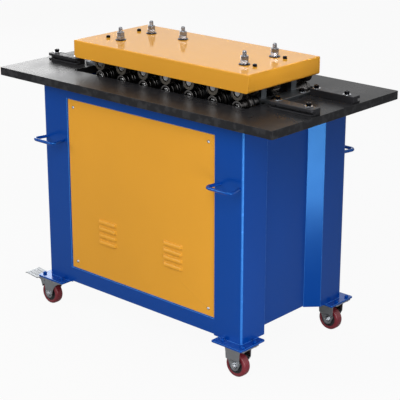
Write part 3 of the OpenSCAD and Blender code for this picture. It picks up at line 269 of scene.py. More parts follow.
def object_noise(tree, scale, detail, stretch=None):
    """Noise from 0 to 1 on object coordinates, at a scale in waves per metre."""
    place = add_node(tree, "ShaderNodeTexCoord").outputs["Object"]
    if stretch:
        place = add_node(tree, "ShaderNodeVectorMath", {0: place, 1: stretch}, operation="MULTIPLY").outputs[0]
    noise = add_node(tree, "ShaderNodeTexNoise", {"Vector": place, "Scale": scale, "Detail": detail})
    return noise.outputs["Fac"]


def line_noise(tree, place, detail):
    """Noise from 0 to 1 along a line, one wave per unit."""
    inputs = {"W": place, "Scale": 1.0, "Detail": detail}
    return add_node(tree, "ShaderNodeTexNoise", inputs, noise_dimensions="1D").outputs["Fac"]


def remap(tree, value, low, high, new_low=0.0, new_high=1.0):
    """A value moved from one range to another and kept inside it."""
    inputs = {"Value": value, "From Min": low, "From Max": high, "To Min": new_low, "To Max": new_high}
    return add_node(tree, "ShaderNodeMapRange", inputs).outputs["Result"]


def mix_colours(tree, share, first, second, blend="MIX"):
    """The first colour with a share of the second over it."""
    inputs = {0: share, 6: first, 7: second}
    return add_node(tree, "ShaderNodeMix", inputs, data_type="RGBA", blend_type=blend).outputs[2]


@shared("Coat grain")
def grain_group(name):
    """Fine waves of a sprayed coat, as a height."""
    tree, given, result = new_group(name, "ShaderNodeTree", [("Size", NUMBER, 0.002)], [("Height", NUMBER)])
    fine = object_noise(tree, math_node(tree, "DIVIDE", 1.0, given["Size"]), detail=1.0)
    broad = object_noise(tree, math_node(tree, "DIVIDE", BROAD_WAVES, given["Size"]), detail=1.0)
    fine = math_node(tree, "MULTIPLY", fine, 1 - BROAD_SHARE)
    broad = math_node(tree, "MULTIPLY", broad, BROAD_SHARE)
    tree.links.new(math_node(tree, "ADD", fine, broad), result.inputs["Height"])
    return tree


@shared("Tone drift")
def tone_group(name):
    """A colour that drifts a little lighter and darker over the surface."""
    tree, given, result = new_group(
        name, "ShaderNodeTree",
        [("Color", COLOUR, None), ("Amount", NUMBER, 0.1), ("Size", NUMBER, 0.3)],
        [("Color", COLOUR)],
    )
    drift = object_noise(tree, math_node(tree, "DIVIDE", 1.0, given["Size"]), detail=3.0)
    low = math_node(tree, "SUBTRACT", 1.0, given["Amount"])
    high = math_node(tree, "ADD", 1.0, given["Amount"])
    shade = remap(tree, drift, *NOISE_RANGE, low, high)
    grey = add_node(tree, "ShaderNodeCombineColor", {0: shade, 1: shade, 2: shade}).outputs[0]
    tree.links.new(mix_colours(tree, 1.0, given["Color"], grey, "MULTIPLY"), result.inputs["Color"])
    return tree


@shared("Sheen blotches")
def sheen_group(name):
    """Roughness that varies in soft blotches between two values."""
    tree, given, result = new_group(
        name, "ShaderNodeTree",
        [("Low", NUMBER, 0.3), ("High", NUMBER, 0.4), ("Size", NUMBER, 0.1)],
        [("Roughness", NUMBER)],
    )
    blotch = object_noise(tree, math_node(tree, "DIVIDE", 1.0, given["Size"]), detail=4.0)
    sheen = remap(tree, blotch, *NOISE_RANGE, given["Low"], given["High"])
    tree.links.new(sheen, result.inputs["Roughness"])
    return tree


@shared("Settled dust")
def dust_group(name):
    """Thin dust that lies on faces that look up."""
    tree, given, result = new_group(
        name, "ShaderNodeTree",
        [("Color", COLOUR, None), ("Dust", COLOUR, None), ("Amount", NUMBER, 0.1)],
        [("Color", COLOUR), ("Mask", NUMBER)],
    )
    normal = add_node(tree, "ShaderNodeNewGeometry").outputs["Normal"]
    up = add_node(tree, "ShaderNodeSeparateXYZ", {0: normal}).outputs["Z"]
    specks = remap(tree, object_noise(tree, scale=60.0, detail=8.0), low=0.45, high=0.75)
    mask = math_node(tree, "MULTIPLY", remap(tree, up, low=0.4, high=1.0), specks)
    mask = math_node(tree, "MULTIPLY", mask, given["Amount"], clamp=True)
    tree.links.new(mix_colours(tree, mask, given["Color"], given["Dust"]), result.inputs["Color"])
    tree.links.new(mask, result.inputs["Mask"])
    return tree


@shared("Rubbed edge")
def wear_group(name):
    """Paint rubbed lighter in short streaks, for the edges of painted sheet."""
    tree, given, result = new_group(
        name, "ShaderNodeTree",
        [("Paint", COLOUR, None), ("Rubbed", COLOUR, None), ("Amount", NUMBER, 0.3)],
        [("Color", COLOUR)],
    )
    streaks = object_noise(tree, scale=45.0, detail=6.0)
    start = math_node(tree, "SUBTRACT", 1.0, given["Amount"])
    share = remap(tree, streaks, start, math_node(tree, "ADD", start, RUBBED_BORDER))
    tree.links.new(mix_colours(tree, share, given["Paint"], given["Rubbed"]), result.inputs["Color"])
    return tree


@shared("Lathe marks")
def lathe_group(name):
    """Turning marks that follow a turned part's own lathe map: radius across, length along."""
    tree, given, result = new_group(
        name, "ShaderNodeTree",
        [("Pitch", NUMBER, 0.0007)],
        [("Height", NUMBER), ("Shade", NUMBER)],
    )
    place = add_node(tree, "ShaderNodeUVMap", uv_map="lathe").outputs["UV"]
    parts = add_node(tree, "ShaderNodeSeparateXYZ", {0: place})
    along = math_node(tree, "MULTIPLY", parts.outputs["Y"], LATHE_SLANT)
    run = math_node(tree, "ADD", parts.outputs["X"], along)
    steps = math_node(tree, "DIVIDE", run, given["Pitch"])
    rings = line_noise(tree, steps, detail=2.0)
    bands = line_noise(tree, math_node(tree, "MULTIPLY", steps, LATHE_BANDS), detail=1.0)
    tree.links.new(rings, result.inputs["Height"])
    tree.links.new(remap(tree, bands, *NOISE_RANGE), result.inputs["Shade"])
    return tree


@shared("Brushed lines")
def brush_group(name):
    """Long fine scratches of ground or milled steel, as a height."""
    tree, given, result = new_group(
        name, "ShaderNodeTree",
        [("Pitch", NUMBER, 0.0006), ("Stretch", "NodeSocketVector", (0.05, 1.0, 1.0))],
        [("Height", NUMBER)],
    )
    scale = math_node(tree, "DIVIDE", 1.0, given["Pitch"])
    lines = object_noise(tree, scale, detail=3.0, stretch=given["Stretch"])
    tree.links.new(lines, result.inputs["Height"])
    return tree


# Materials

# How much rougher dust makes a coat, how much lighter rubbed paint is, and how dark turned bands get
DUST_ROUGHNESS = 0.4
RUBBED_GAIN = 1.25
RUBBED_LIFT = 0.01
TURNED_SHADE = 0.72


def paints():
    return bpy.context.scene.seam_paint


def metals():
    return bpy.context.scene.seam_metal


def new_material(name, plain):
    """A material, its tree and its shader, with values that are the same all over the surface."""
    material = bpy.data.materials.new(name)
    material.use_nodes = True
    shader = material.node_tree.nodes["Principled BSDF"]
    for socket, value in plain.items():
        shader.inputs[socket].default_value = value
    return material, material.node_tree, shader


def use_group(tree, group, inputs):
    """Places a node group in a material with its own values and gives its outputs."""
    return add_node(tree, "ShaderNodeGroup", inputs, node_tree=group).outputs


def solid(colour):
    """A colour with full alpha, for a socket."""
    return (*colour, 1.0)


def bump(tree, shader, height, depth):
    """Tilts the shader's normal by a height from the tree, whose waves stand depth metres high."""
    node = add_node(tree, "ShaderNodeBump", {"Height": height, "Distance": depth})
    tree.links.new(node.outputs["Normal"], shader.inputs["Normal"])


def enamel(name, colour, rough, level=None, shine=None, dust=0.03, depth=0.00004, rubbed=0.0):
    """Sprayed and baked paint with fine grain, soft blotches of sheen and a little dust."""
    plain = {
        "Specular IOR Level": paints().level if level is None else level,
        "Specular Tint": solid(shine or (1.0, 1.0, 1.0)),
    }
    material, tree, shader = new_material(name, plain)
    tone = use_group(tree, tone_group(), {"Color": solid(colour), "Amount": 0.03, "Size": 0.35})["Color"]
    if rubbed:
        lighter = solid(tuple(min(1.0, c * RUBBED_GAIN + RUBBED_LIFT) for c in colour))
        tone = use_group(tree, wear_group(), {"Paint": tone, "Rubbed": lighter, "Amount": rubbed})["Color"]
    dusty = use_group(tree, dust_group(), {"Color": tone, "Dust": solid(paint(190, 186, 178)), "Amount": dust})
    sheen = use_group(tree, sheen_group(), {"Low": rough[0], "High": rough[1], "Size": 0.09})["Roughness"]
    duller = math_node(tree, "MULTIPLY", dusty["Mask"], DUST_ROUGHNESS)
    tree.links.new(dusty["Color"], shader.inputs["Base Color"])
    tree.links.new(math_node(tree, "ADD", sheen, duller), shader.inputs["Roughness"])
    bump(tree, shader, use_group(tree, grain_group(), {"Size": paints().grain})["Height"], depth)
    return material


def steel(name, colour, rough, height=None, depth=0.00003, bare=1.0):
    """Bare or plated steel; height makes its marks from the tree, and without it they are fine blotches."""
    material, tree, shader = new_material(name, {"Metallic": bare, "Specular IOR Level": 0.2})
    tone = use_group(tree, tone_group(), {"Color": solid(colour), "Amount": 0.06, "Size": 0.03})["Color"]
    sheen = use_group(tree, sheen_group(), {"Low": rough[0], "High": rough[1], "Size": 0.02})["Roughness"]
    tree.links.new(tone, shader.inputs["Base Color"])
    tree.links.new(sheen, shader.inputs["Roughness"])
    marks = height(tree) if height else use_group(tree, grain_group(), {"Size": 0.0012})["Height"]
    bump(tree, shader, marks, depth)
    return material


def turned_steel(name, colour, rough):
    """Turned steel, whose marks and shading run round the part."""
    material, tree, shader = new_material(name, {"Metallic": 1.0})
    pitch = bpy.context.scene.seam_detail.lathe_pitch
    marks = use_group(tree, lathe_group(), {"Pitch": pitch})
    tone = use_group(tree, tone_group(), {"Color": solid(colour), "Amount": 0.1, "Size": 0.02})["Color"]
    darker = solid(tuple(c * TURNED_SHADE for c in colour))
    tree.links.new(mix_colours(tree, marks["Shade"], tone, darker), shader.inputs["Base Color"])
    tree.links.new(remap(tree, marks["Shade"], 0.0, 1.0, *rough), shader.inputs["Roughness"])
    bump(tree, shader, marks["Height"], depth=0.00006)
    return material


def brushed(stretch):
    """A maker of brushed marks that run along the axis with the small stretch."""
    return lambda tree: use_group(tree, brush_group(), {"Pitch": 0.0005, "Stretch": stretch})["Height"]


def plastic(name, colour, rough):
    """Moulded plastic or rubber."""
    material, tree, shader = new_material(name, {"Specular IOR Level": 0.5})
    tone = use_group(tree, tone_group(), {"Color": solid(colour), "Amount": 0.05, "Size": 0.03})["Color"]
    dusty = use_group(tree, dust_group(), {"Color": tone, "Dust": solid(paint(150, 146, 140)), "Amount": 0.15})
    sheen = use_group(tree, sheen_group(), {"Low": rough[0], "High": rough[1], "Size": 0.02})["Roughness"]
    tree.links.new(dusty["Color"], shader.inputs["Base Color"])
    tree.links.new(sheen, shader.inputs["Roughness"])
    bump(tree, shader, use_group(tree, grain_group(), {"Size": 0.0009})["Height"], depth=0.00002)
    return material


def blue_coat(name, colour, rough, level, **rest):
    """Blue enamel, whose reflections are tinted."""
    return enamel(name, colour, rough, level=level, shine=paints().blue_shine, **rest)


def blue_enamel():
    return blue_coat("blue_enamel", paints().blue, rough=(0.2, 0.26), level=0.9)


# Painted highlight along the cabinet's folds and edges in a lighter blue, with rubbed wear over it
def blue_highlight():
    return blue_coat("blue_enamel_highlight", paints().blue_highlight, rough=(0.24, 0.3), level=1.0, rubbed=0.4)


def handle_enamel():
    return blue_coat("handle_enamel", paints().blue, rough=(0.08, 0.14), level=1.0, depth=0.00001)


def orange_enamel():
    return enamel("orange_enamel", paints().orange, rough=(0.29, 0.32), dust=0.01, depth=0.00003)


def orange_edge():
    return enamel("orange_enamel_edge", paints().orange, rough=(0.26, 0.34), level=0.4, rubbed=0.45)


def cover_enamel():
    return enamel("cover_enamel", paints().orange, rough=(0.07, 0.13), level=0.2, dust=0.02, depth=0.00001)


def table_black():
    return enamel("table_black", paints().table, rough=(0.26, 0.32), level=0.06, dust=0.02, depth=0.00001)


def table_edge():
    return enamel("table_black_edge", paints().table, rough=(0.3, 0.4), level=0.15, rubbed=0.5)


def motor_enamel():
    return enamel("motor_enamel", paints().motor, rough=(0.35, 0.45), level=0.1, dust=0.25)


def box_grey():
    return enamel("box_grey", paints().box, rough=(0.4, 0.5), level=0.05)


def bright_steel():
    return steel("bright_steel", metals().bright, rough=(0.18, 0.28))


def stud_steel():
    return steel("stud_steel", metals().stud, rough=(0.16, 0.26))


def blued_steel():
    return steel("blued_steel", metals().blued, rough=(0.22, 0.34))


def zinc_steel():
    return steel("zinc_steel", metals().zinc, rough=(0.28, 0.38), depth=0.00001)


def black_oxide():
    return steel("black_oxide", metals().blackened, rough=(0.24, 0.34))


def lower_roll_steel():
    return turned_steel("lower_roll_steel", metals().lower_roll, rough=(0.24, 0.36))


def upper_roll_steel():
    return turned_steel("upper_roll_steel", metals().upper_roll, rough=(0.24, 0.36))


def roll_nut_steel():
    return steel("roll_nut_steel", metals().roll_nut, rough=(0.1, 0.18))


def gear_steel():
    return steel("gear_steel", paint(150, 150, 152), rough=(0.28, 0.4))


def head_casting():
    return steel("head_casting", metals().casting, rough=(0.32, 0.46), height=brushed((0.06, 1.0, 1.0)))


def guide_steel():
    return steel("guide_steel", metals().guide, rough=(0.36, 0.5), height=brushed((0.05, 1.0, 1.0)), bare=0.35)


def bush_bronze():
    return steel("bush_bronze", metals().bronze, rough=(0.3, 0.42))


def wheel_tread():
    return plastic("wheel_tread", metals().tread, rough=(0.28, 0.42))


def wheel_hub():
    return plastic("wheel_hub", metals().hub, rough=(0.4, 0.5))


def button_green():
    return plastic("button_green", paint(24, 132, 62), rough=(0.18, 0.26))


def button_red():
    return plastic("button_red", paint(196, 24, 22), rough=(0.18, 0.26))


FINISHES = {}


def finish(maker):
    """A material by its function, made once."""
    name = maker.__name__
    if name not in FINISHES:
        FINISHES[name] = maker()
    return FINISHES[name]


# Meshes


def link_piece(name, mesh):
    """A mesh as a piece in the scene."""
    piece = bpy.data.objects.new(name, mesh)
    bpy.context.scene.collection.objects.link(piece)
    return piece


def settle(piece):
    """Replaces a piece's mesh by the result of its modifiers, which are then removed."""
    graph = bpy.context.evaluated_depsgraph_get()
    shown = piece.evaluated_get(graph)
    mesh = bpy.data.meshes.new_from_object(shown, preserve_all_data_layers=True, depsgraph=graph)
    piece.modifiers.clear()
    piece.data = mesh
    return piece


def fit(piece, body, slot, *nodes):
    """Makes a piece ride on a body and stand for CAD nodes. The slot is not used."""
    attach(piece, body)
    if nodes:
        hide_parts(*nodes)
    return piece


def merged_mesh(node):
    """A copy of a CAD node's mesh with its loose triangles merged and its flat faces joined."""
    mesh = frame["nodes"][node].data.copy()
    shape = bmesh.new()
    shape.from_mesh(mesh)
    bmesh.ops.remove_doubles(shape, verts=shape.verts, dist=MERGE_DISTANCE)
    bmesh.ops.dissolve_limit(shape, angle_limit=FLAT_ANGLE, verts=shape.verts, edges=shape.edges)
    for face in shape.faces:
        face.smooth = True
    shape.to_mesh(mesh)
    shape.free()
    mesh.set_sharp_from_angle(angle=SHARP_ANGLE)
    return mesh


def islands(shape):
    """The vertices of each separate solid in a merged bmesh."""
    left = set(shape.verts)
    while left:
        wave = [left.pop()]
        reached = list(wave)
        while wave:
            wave = list({e.other_vert(v) for v in wave for e in v.link_edges if e.other_vert(v) in left})
            left.difference_update(wave)
            reached += wave
        yield reached


def corners(points):
    """The lowest and highest corner of a set of points."""
    return tuple(Vector([pick(p[i] for p in points) for i in range(3)]) for pick in (min, max))


def dress(mesh, makers, rule):
    """Gives a mesh its finishes. rule picks the number of one from the box of a face's solid, and the face."""
    mesh.materials.clear()
    for maker in makers:
        mesh.materials.append(finish(maker))
    if rule is None:
        return
    shape = bmesh.new()
    shape.from_mesh(mesh)
    for reached in islands(shape):
        box = corners([v.co for v in reached])
        for face in {f for v in reached for f in v.link_faces}:
            face.material_index = rule(box, face)
    shape.to_mesh(mesh)
    shape.free()


def weigh_edges(mesh, rule):
    """Gives each sharp edge the share of the widest rounding that a rule picks from its two ends."""
    shape = bmesh.new()
    shape.from_mesh(mesh)
    shares = [0.0] * len(shape.edges)
    for number, edge in enumerate(shape.edges):
        if edge.calc_face_angle(0.0) > SHARP_ANGLE:
            shares[number] = rule(*(v.co for v in edge.verts))
    shape.free()
    mesh.attributes.new("bevel_weight_edge", "FLOAT", "EDGE").data.foreach_set("value", shares)


def soften(piece, width, segments, edge_slot, weighted):
    """Rounds the edges of a piece and keeps its flat faces flat in shading."""
    rounding = piece.modifiers.new("Edge round", "BEVEL")
    rounding.width = width
    rounding.segments = segments
    rounding.limit_method = "WEIGHT" if weighted else "ANGLE"
    rounding.angle_limit = ROUND_ANGLE
    rounding.use_clamp_overlap = False
    rounding.material = edge_slot
    weighting = piece.modifiers.new("Flat shading", "WEIGHTED_NORMAL")
    weighting.weight = 100
    weighting.keep_sharp = True
    return settle(piece)


def skin(node, *makers, edge=None, rule=None, weights=None, width=None, segments=2):
    """A finished copy of a CAD node with softened edges, which stands for it."""
    piece = link_piece(node + "_skin", merged_mesh(node))
    dress(piece.data, makers, rule)
    if edge:
        piece.data.materials.append(finish(edge))
    if weights:
        weigh_edges(piece.data, weights)
    if width is None:
        width = bpy.context.scene.seam_detail.edge
    if width:
        soften(piece, width, segments, len(makers) if edge else -1, weights is not None)
    return fit(piece, BODY_OF[node], SLOT_OF[node], node)


def add_lathe_map(piece, axis_point, axis):
    """Writes the radius from an axis and the length along it to a UV map that turning marks follow."""
    mesh = piece.data
    layer = mesh.uv_layers.new(name="lathe")
    for loop in mesh.loops:
        out = mesh.vertices[loop.vertex_index].co - axis_point
        along = out.dot(axis)
        layer.data[loop.index].uv = ((out - axis * along).length, along)


def solids(node):
    """The separate solids of a CAD node, as their lowest and highest corners."""
    shape = bmesh.new()
    shape.from_mesh(frame["nodes"][node].data)
    bmesh.ops.remove_doubles(shape, verts=shape.verts, dist=MERGE_DISTANCE)
    found = [corners([v.co for v in reached]) for reached in islands(shape)]
    shape.free()
    return sorted(found, key=lambda box: tuple(round(c, 5) for c in (*box[0], *box[1])))


def middle(box):
    """The point halfway between a box's corners."""
    return (box[0] + box[1]) / 2


def node_box(node):
    """The lowest and highest corner of a CAD node."""
    return tuple(map(Vector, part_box(node)))


# Rules, which give a face its first finish with 0 and its second with 1


def lower_than(height):
    """A rule that gives the second finish to the solids lower than a height, such as washers."""
    return lambda box, face: int(box[1].z - box[0].z < height)


def above(level):
    """A rule that gives the second finish to the faces above a level."""
    return lambda box, face: int(face.calc_center_median().z > level)


def nuts_and_ends(length):
    """A rule that gives the second finish to the nuts on a shaft of a length, and to the shaft's ends."""
    def rule(box, face):
        span = box[1].y - box[0].y
        end = abs(face.calc_center_median().y) > box[1].y - LEVEL_DISTANCE
        return int(span < NUT_LENGTH or (span > length * SHAFT_SHARE and end))
    return rule


def within(radius, centre):
    """A rule that gives the second finish to the faces within a radius of a wheel's centre."""
    def rule(box, face):
        return int(all(math.hypot(v.co.x - centre.x, v.co.z - centre.z) < radius for v in face.verts))
    return rule


# Geometry node trees


def geometry_group(name, inputs):
    """A geometry tree with Places first, its input sockets by name and a place for its result."""
    rows = [("Places", "NodeSocketGeometry", None), *inputs, ("Finish", "NodeSocketMaterial", None)]
    return new_group(name, "GeometryNodeTree", rows, [("Geometry", "NodeSocketGeometry")])


def end_tree(tree, given, result, shape):
    """Ends a tree: the shape stands at each place, as real mesh with its finish."""
    spread = add_node(tree, "GeometryNodeInstanceOnPoints", {"Points": given["Places"], "Instance": shape})
    real = add_node(tree, "GeometryNodeRealizeInstances", {0: spread.outputs[0]})
    done = add_node(tree, "GeometryNodeSetMaterial", {"Geometry": real.outputs[0], "Material": given["Finish"]})
    tree.links.new(done.outputs[0], result.inputs["Geometry"])
    return tree


@shared("Thread")
def thread_tree(name):
    """A helical thread that stands up from each place."""
    tree, given, result = geometry_group(name, [
        ("Radius", NUMBER, 0.006), ("Pitch", NUMBER, 0.0018),
        ("Turns", NUMBER, 8.0), ("Depth", NUMBER, 0.0005),
    ])
    height = math_node(tree, "MULTIPLY", given["Pitch"], given["Turns"])
    helix = add_node(tree, "GeometryNodeCurveSpiral", {
        "Resolution": 28, "Rotations": given["Turns"], "Start Radius": given["Radius"],
        "End Radius": given["Radius"], "Height": height,
    }).outputs[0]
    ridge = add_node(tree, "GeometryNodeCurvePrimitiveCircle", {"Resolution": 4, "Radius": given["Depth"]})
    thread = add_node(tree, "GeometryNodeCurveToMesh", {
        "Curve": helix, "Profile Curve": ridge.outputs[0], "Fill Caps": True,
    })
    return end_tree(tree, given, result, thread.outputs[0])


@shared("Knurls")
def knurl_tree(name):
    """Upright ribs in a circle round each place."""
    tree, given, result = geometry_group(name, [
        ("Radius", NUMBER, 0.008), ("Height", NUMBER, 0.006), ("Ribs", "NodeSocketInt", 36),
        ("Rib", NUMBER, 0.0006),
    ])
    circle = add_node(tree, "GeometryNodeMeshCircle", {"Vertices": given["Ribs"], "Radius": given["Radius"]})
    size = add_node(tree, "ShaderNodeCombineXYZ", {0: given["Rib"], 1: given["Rib"], 2: given["Height"]})
    rib = add_node(tree, "GeometryNodeMeshCube", {"Size": size.outputs[0]}).outputs[0]
    index = add_node(tree, "GeometryNodeInputIndex").outputs[0]
    step = math_node(tree, "DIVIDE", math.tau, given["Ribs"])
    face_out = math_node(tree, "MULTIPLY", index, step)
    corner_out = math_node(tree, "ADD", face_out, math.pi / 4)
    turn = add_node(tree, "ShaderNodeCombineXYZ", {2: corner_out}).outputs[0]
    ring = add_node(tree, "GeometryNodeInstanceOnPoints", {
        "Points": circle.outputs[0], "Instance": rib, "Rotation": turn,
    })
    return end_tree(tree, given, result, ring.outputs[0])


def grow(name, places, tree, values):
    """Runs a geometry tree on points and gives the result as a plain piece."""
    mesh = bpy.data.meshes.new(name)
    mesh.from_pydata(places, [], [])
    piece = link_piece(name, mesh)
    modifier = piece.modifiers.new(tree.name, "NODES")
    modifier.node_group = tree
    for socket in tree.interface.items_tree:
        if socket.in_out == "INPUT" and socket.name in values:
            modifier[socket.identifier] = values[socket.name]
    return settle(piece)


def knurl_heads(node, foot_z):
    """Ribs round the heads of a node's socket screws, from foot_z up."""
    detail = bpy.context.scene.seam_detail
    screws = solids(node)
    low, high = screws[0]
    height = (high.z - foot_z) * KNURLED_SHARE
    places = [(middle(b).x, middle(b).y, foot_z + height / 2) for b in screws]
    piece = grow(node + "_knurls", places, knurl_tree(), {
        "Radius": (high.x - low.x) / 2, "Height": height, "Ribs": detail.knurls, "Rib": detail.knurl,
        "Finish": finish(black_oxide),
    })
    return fit(piece, BODY_OF[node], SLOT_OF[node])


def thread_studs(node):
    """A thread on each of a node's studs, from the top of its nuts up."""
    detail = bpy.context.scene.seam_detail
    parts = solids(node)
    shafts = [box for box in parts if box[1].z - box[0].z > STUD_LENGTH]
    low, high = shafts[0]
    nut_top = max(box[1].z for box in parts if box not in shafts)
    room = high.z - nut_top - PLAIN_END
    piece = grow("stud_threads", [(middle(b).x, middle(b).y, nut_top) for b in shafts], thread_tree(), {
        "Radius": (high.x - low.x) / 2, "Pitch": detail.thread_pitch, "Turns": room / detail.thread_pitch,
        "Depth": detail.thread_depth, "Finish": finish(stud_steel),
    })
    return fit(piece, BODY_OF[node], SLOT_OF[node])


# Stage

# The floor's grey, how much of it glows for the camera and for mirrors, and the soft light from all round
FLOOR_GREY = (0.35, 0.35, 0.35, 1)
FLOOR_GLOW = 0.94
FLOOR_MIRRORED = 0.15
WHITE = (1, 1, 1, 1)
WORLD_COLOUR = (0.95, 0.97, 1, 1)
WORLD_LIGHT = 0.3

# Each lamp: name, place, target, width and height, power in watts, angle of its beam in degrees
LAMPS = [
    ("key_lamp", (1.5, -2.3, 2.5), (0, 0, 0.45), (1.5, 1.5), 50, 180),
    ("top_lamp", (-0.2, 0.4, 4.4), (0, 0, 0.45), (2.6, 2.6), 66, 180),
    ("fill_lamp", (-1.3, -2.2, 1.5), (0, 0, 0.45), (1.2, 1.2), 22, 180),
    ("back_lamp", (-4.4, 2.3, 1.9), (0, 0, 0.45), (1.8, 1.8), 46, 180),
    ("low_lamp", (1.27, -0.61, 0.34), (0, 0, 0.45), (0.42, 0.56), 6, 180),
    ("end_lamp", (1.4, -0.05, 1.13), (0, -0.05, 1.13), (0.5, 0.06), 0.6, 36),
]


def glow_shares(tree):
    """Two masks: rays from the camera, and rays of a reflection or a transmission."""
    path = add_node(tree, "ShaderNodeLightPath").outputs
    return path["Is Camera Ray"], math_node(tree, "MAXIMUM", path["Is Glossy Ray"], path["Is Transmission Ray"])


def make_floor(size):
    """A grey floor that glows almost white for the camera."""
    half = size / 2
    mesh = bpy.data.meshes.new("floor")
    points = [(-half, -half, 0), (half, -half, 0), (half, half, 0), (-half, half, 0)]
    mesh.from_pydata(points, [], [(0, 1, 2, 3)])
    floor = link_piece("floor", mesh)
    plain = {"Base Color": FLOOR_GREY, "Roughness": 1.0, "Specular IOR Level": 0.0}
    material, tree, shader = new_material("floor_white", plain)
    glow = add_node(tree, "ShaderNodeEmission", {"Color": WHITE, "Strength": 1.0}).outputs[0]
    seen, mirrored = glow_shares(tree)
    seen = math_node(tree, "MULTIPLY", seen, FLOOR_GLOW)
    mirrored = math_node(tree, "MULTIPLY", mirrored, FLOOR_MIRRORED)
    share = math_node(tree, "ADD", seen, mirrored)
    mixed = add_node(tree, "ShaderNodeMixShader", {0: share, 1: shader.outputs[0], 2: glow}).outputs[0]
    tree.links.new(mixed, tree.nodes["Material Output"].inputs["Surface"])
    mesh.materials.append(material)
    floor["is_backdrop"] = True


def make_world():
    """A white world for the camera and for mirrors, and a soft one for all other light."""
    world = bpy.data.worlds.new("studio")
    bpy.context.scene.world = world
    world.use_nodes = True
    tree = world.node_tree
    tree.nodes.clear()
    seen = add_node(tree, "ShaderNodeBackground", {"Color": WHITE, "Strength": 1.0}).outputs[0]
    soft = add_node(tree, "ShaderNodeBackground", {"Color": WORLD_COLOUR, "Strength": WORLD_LIGHT}).outputs[0]
    share = math_node(tree, "ADD", *glow_shares(tree), clamp=True)
    mixed = add_node(tree, "ShaderNodeMixShader", {0: share, 1: soft, 2: seen}).outputs[0]
    add_node(tree, "ShaderNodeOutputWorld", {"Surface": mixed})


def aim(thing, place, target):
    """Puts a lamp or a camera at a place and turns it to a target."""
    direction = Vector(target) - Vector(place)
    thing.matrix_world = Matrix.Translation(place) @ direction.to_track_quat("-Z", "Y").to_matrix().to_4x4()


def make_lamp(name, place, target, size, power, beam):
    lamp = bpy.data.lights.new(name, "AREA")
    lamp.shape = "RECTANGLE"
    lamp.size, lamp.size_y = size
    lamp.energy = power
    lamp.spread = math.radians(beam)
    thing = bpy.data.objects.new(name, lamp)
    bpy.context.scene.collection.objects.link(thing)
    aim(thing, place, target)


def make_camera(stage):
    camera = bpy.data.cameras.new("camera")
    camera.lens = stage.lens
    camera.sensor_width = 36
    camera.clip_end = 100
    thing = bpy.data.objects.new("camera", camera)
    bpy.context.scene.collection.objects.link(thing)
    out = Vector((
        math.sin(stage.azimuth) * math.cos(stage.elevation),
        -math.cos(stage.azimuth) * math.cos(stage.elevation),
        math.sin(stage.elevation),
    ))
    aim(thing, Vector(stage.target) + out * stage.distance, stage.target)
    bpy.context.scene.camera = thing


# Operators, one for each piece or group of like pieces


class SEAM_OT_cabinet(Operator):
    """Cabinet of folded sheet with its handles and motor beam"""

    bl_idname = "seam.cabinet"
    bl_label = "Cabinet"

    def execute(self, context):
        detail = context.scene.seam_detail
        side_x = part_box("front_panel")[1][0] + LIP_MARGIN
        face_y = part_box("rear_panel")[1][1] - FACE_DEPTH

        # Fold faces take the lighter blue, a painted highlight along the corner folds
        def fold_highlight(box, face):
            slope = min(abs(face.normal.x), abs(face.normal.y))
            on_face = abs(face.calc_center_median().y) > face_y
            return int(face.calc_area() > FOLD_AREA and slope > FOLD_SLOPE and on_face)

        def weight(a, b):
            on_face = min(abs(a.y), abs(b.y)) > face_y and max(abs(a.x), abs(b.x)) < side_x
            return 1.0 if on_face and (a - b).length > LIP_LENGTH else detail.edge / detail.lip

        # The cabinet's rounded edges and folds get the lighter blue as a painted highlight
        skin(
            "cabinet", blue_enamel, blue_highlight, edge=blue_highlight, rule=fold_highlight, weights=weight, width=detail.lip,
            segments=3,
        )
        skin("carry_handles", handle_enamel, width=0)
        skin("motor_beam", blue_enamel)
        return {"FINISHED"}


class SEAM_OT_panels(Operator):
    """Front and rear panels with their screws"""

    bl_idname = "seam.panels"
    bl_label = "Panels"

    def execute(self, context):
        for side in SIDES:
            skin(f"{side}_panel", orange_enamel, edge=orange_edge, width=0.0005)
        skin("panel_screws", bright_steel, width=0.0003)
        return {"FINISHED"}


class SEAM_OT_table(Operator):
    """Black table plate and its bolts"""

    bl_idname = "seam.table"
    bl_label = "Table"

    def execute(self, context):
        low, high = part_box("table_top")

        def outer_side(box, face):
            spot = face.calc_center_median()
            gaps = [min(abs(spot[i] - low[i]), abs(spot[i] - high[i])) for i in (0, 1)]
            return int(min(gaps) < LEVEL_DISTANCE)

        skin("table_top", table_black, table_edge, rule=outer_side, width=0.0008, segments=3)
        skin("table_bolts", black_oxide, width=0.0003)
        return {"FINISHED"}


class SEAM_OT_cover(Operator):
    """Head cover with its screws, studs, washers and nuts"""

    bl_idname = "seam.cover"
    bl_label = "Cover"

    def execute(self, context):
        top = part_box("head_cover")[1][2]
        roof = above(top - LEVEL_DISTANCE)
        skin("head_cover", orange_enamel, cover_enamel, edge=orange_edge, rule=roof, width=0.0008, segments=3)
        skin("cover_screws", black_oxide, width=0.0003)
        knurl_heads("cover_screws", top)
        skin("cover_studs", stud_steel, blued_steel, rule=lower_than(STUD_WASHER_HEIGHT), width=0.0004)
        thread_studs("cover_studs")
        return {"FINISHED"}


class SEAM_OT_head(Operator):
    """Head housings with bushes, pins and screws"""

    bl_idname = "seam.head"
    bl_label = "Roll head"

    def execute(self, context):
        skin("lower_housing", head_casting)
        skin("upper_housing", head_casting)
        skin("lower_bushes", bush_bronze, width=0)
        skin("upper_bushes", bush_bronze, width=0)
        skin("idler_pins", bright_steel, width=0.0003)
        skin("clamp_screws", black_oxide, width=0.0003)
        skin("head_bolts", black_oxide, bright_steel, rule=lower_than(WASHER_HEIGHT), width=0.0003)
        return {"FINISHED"}


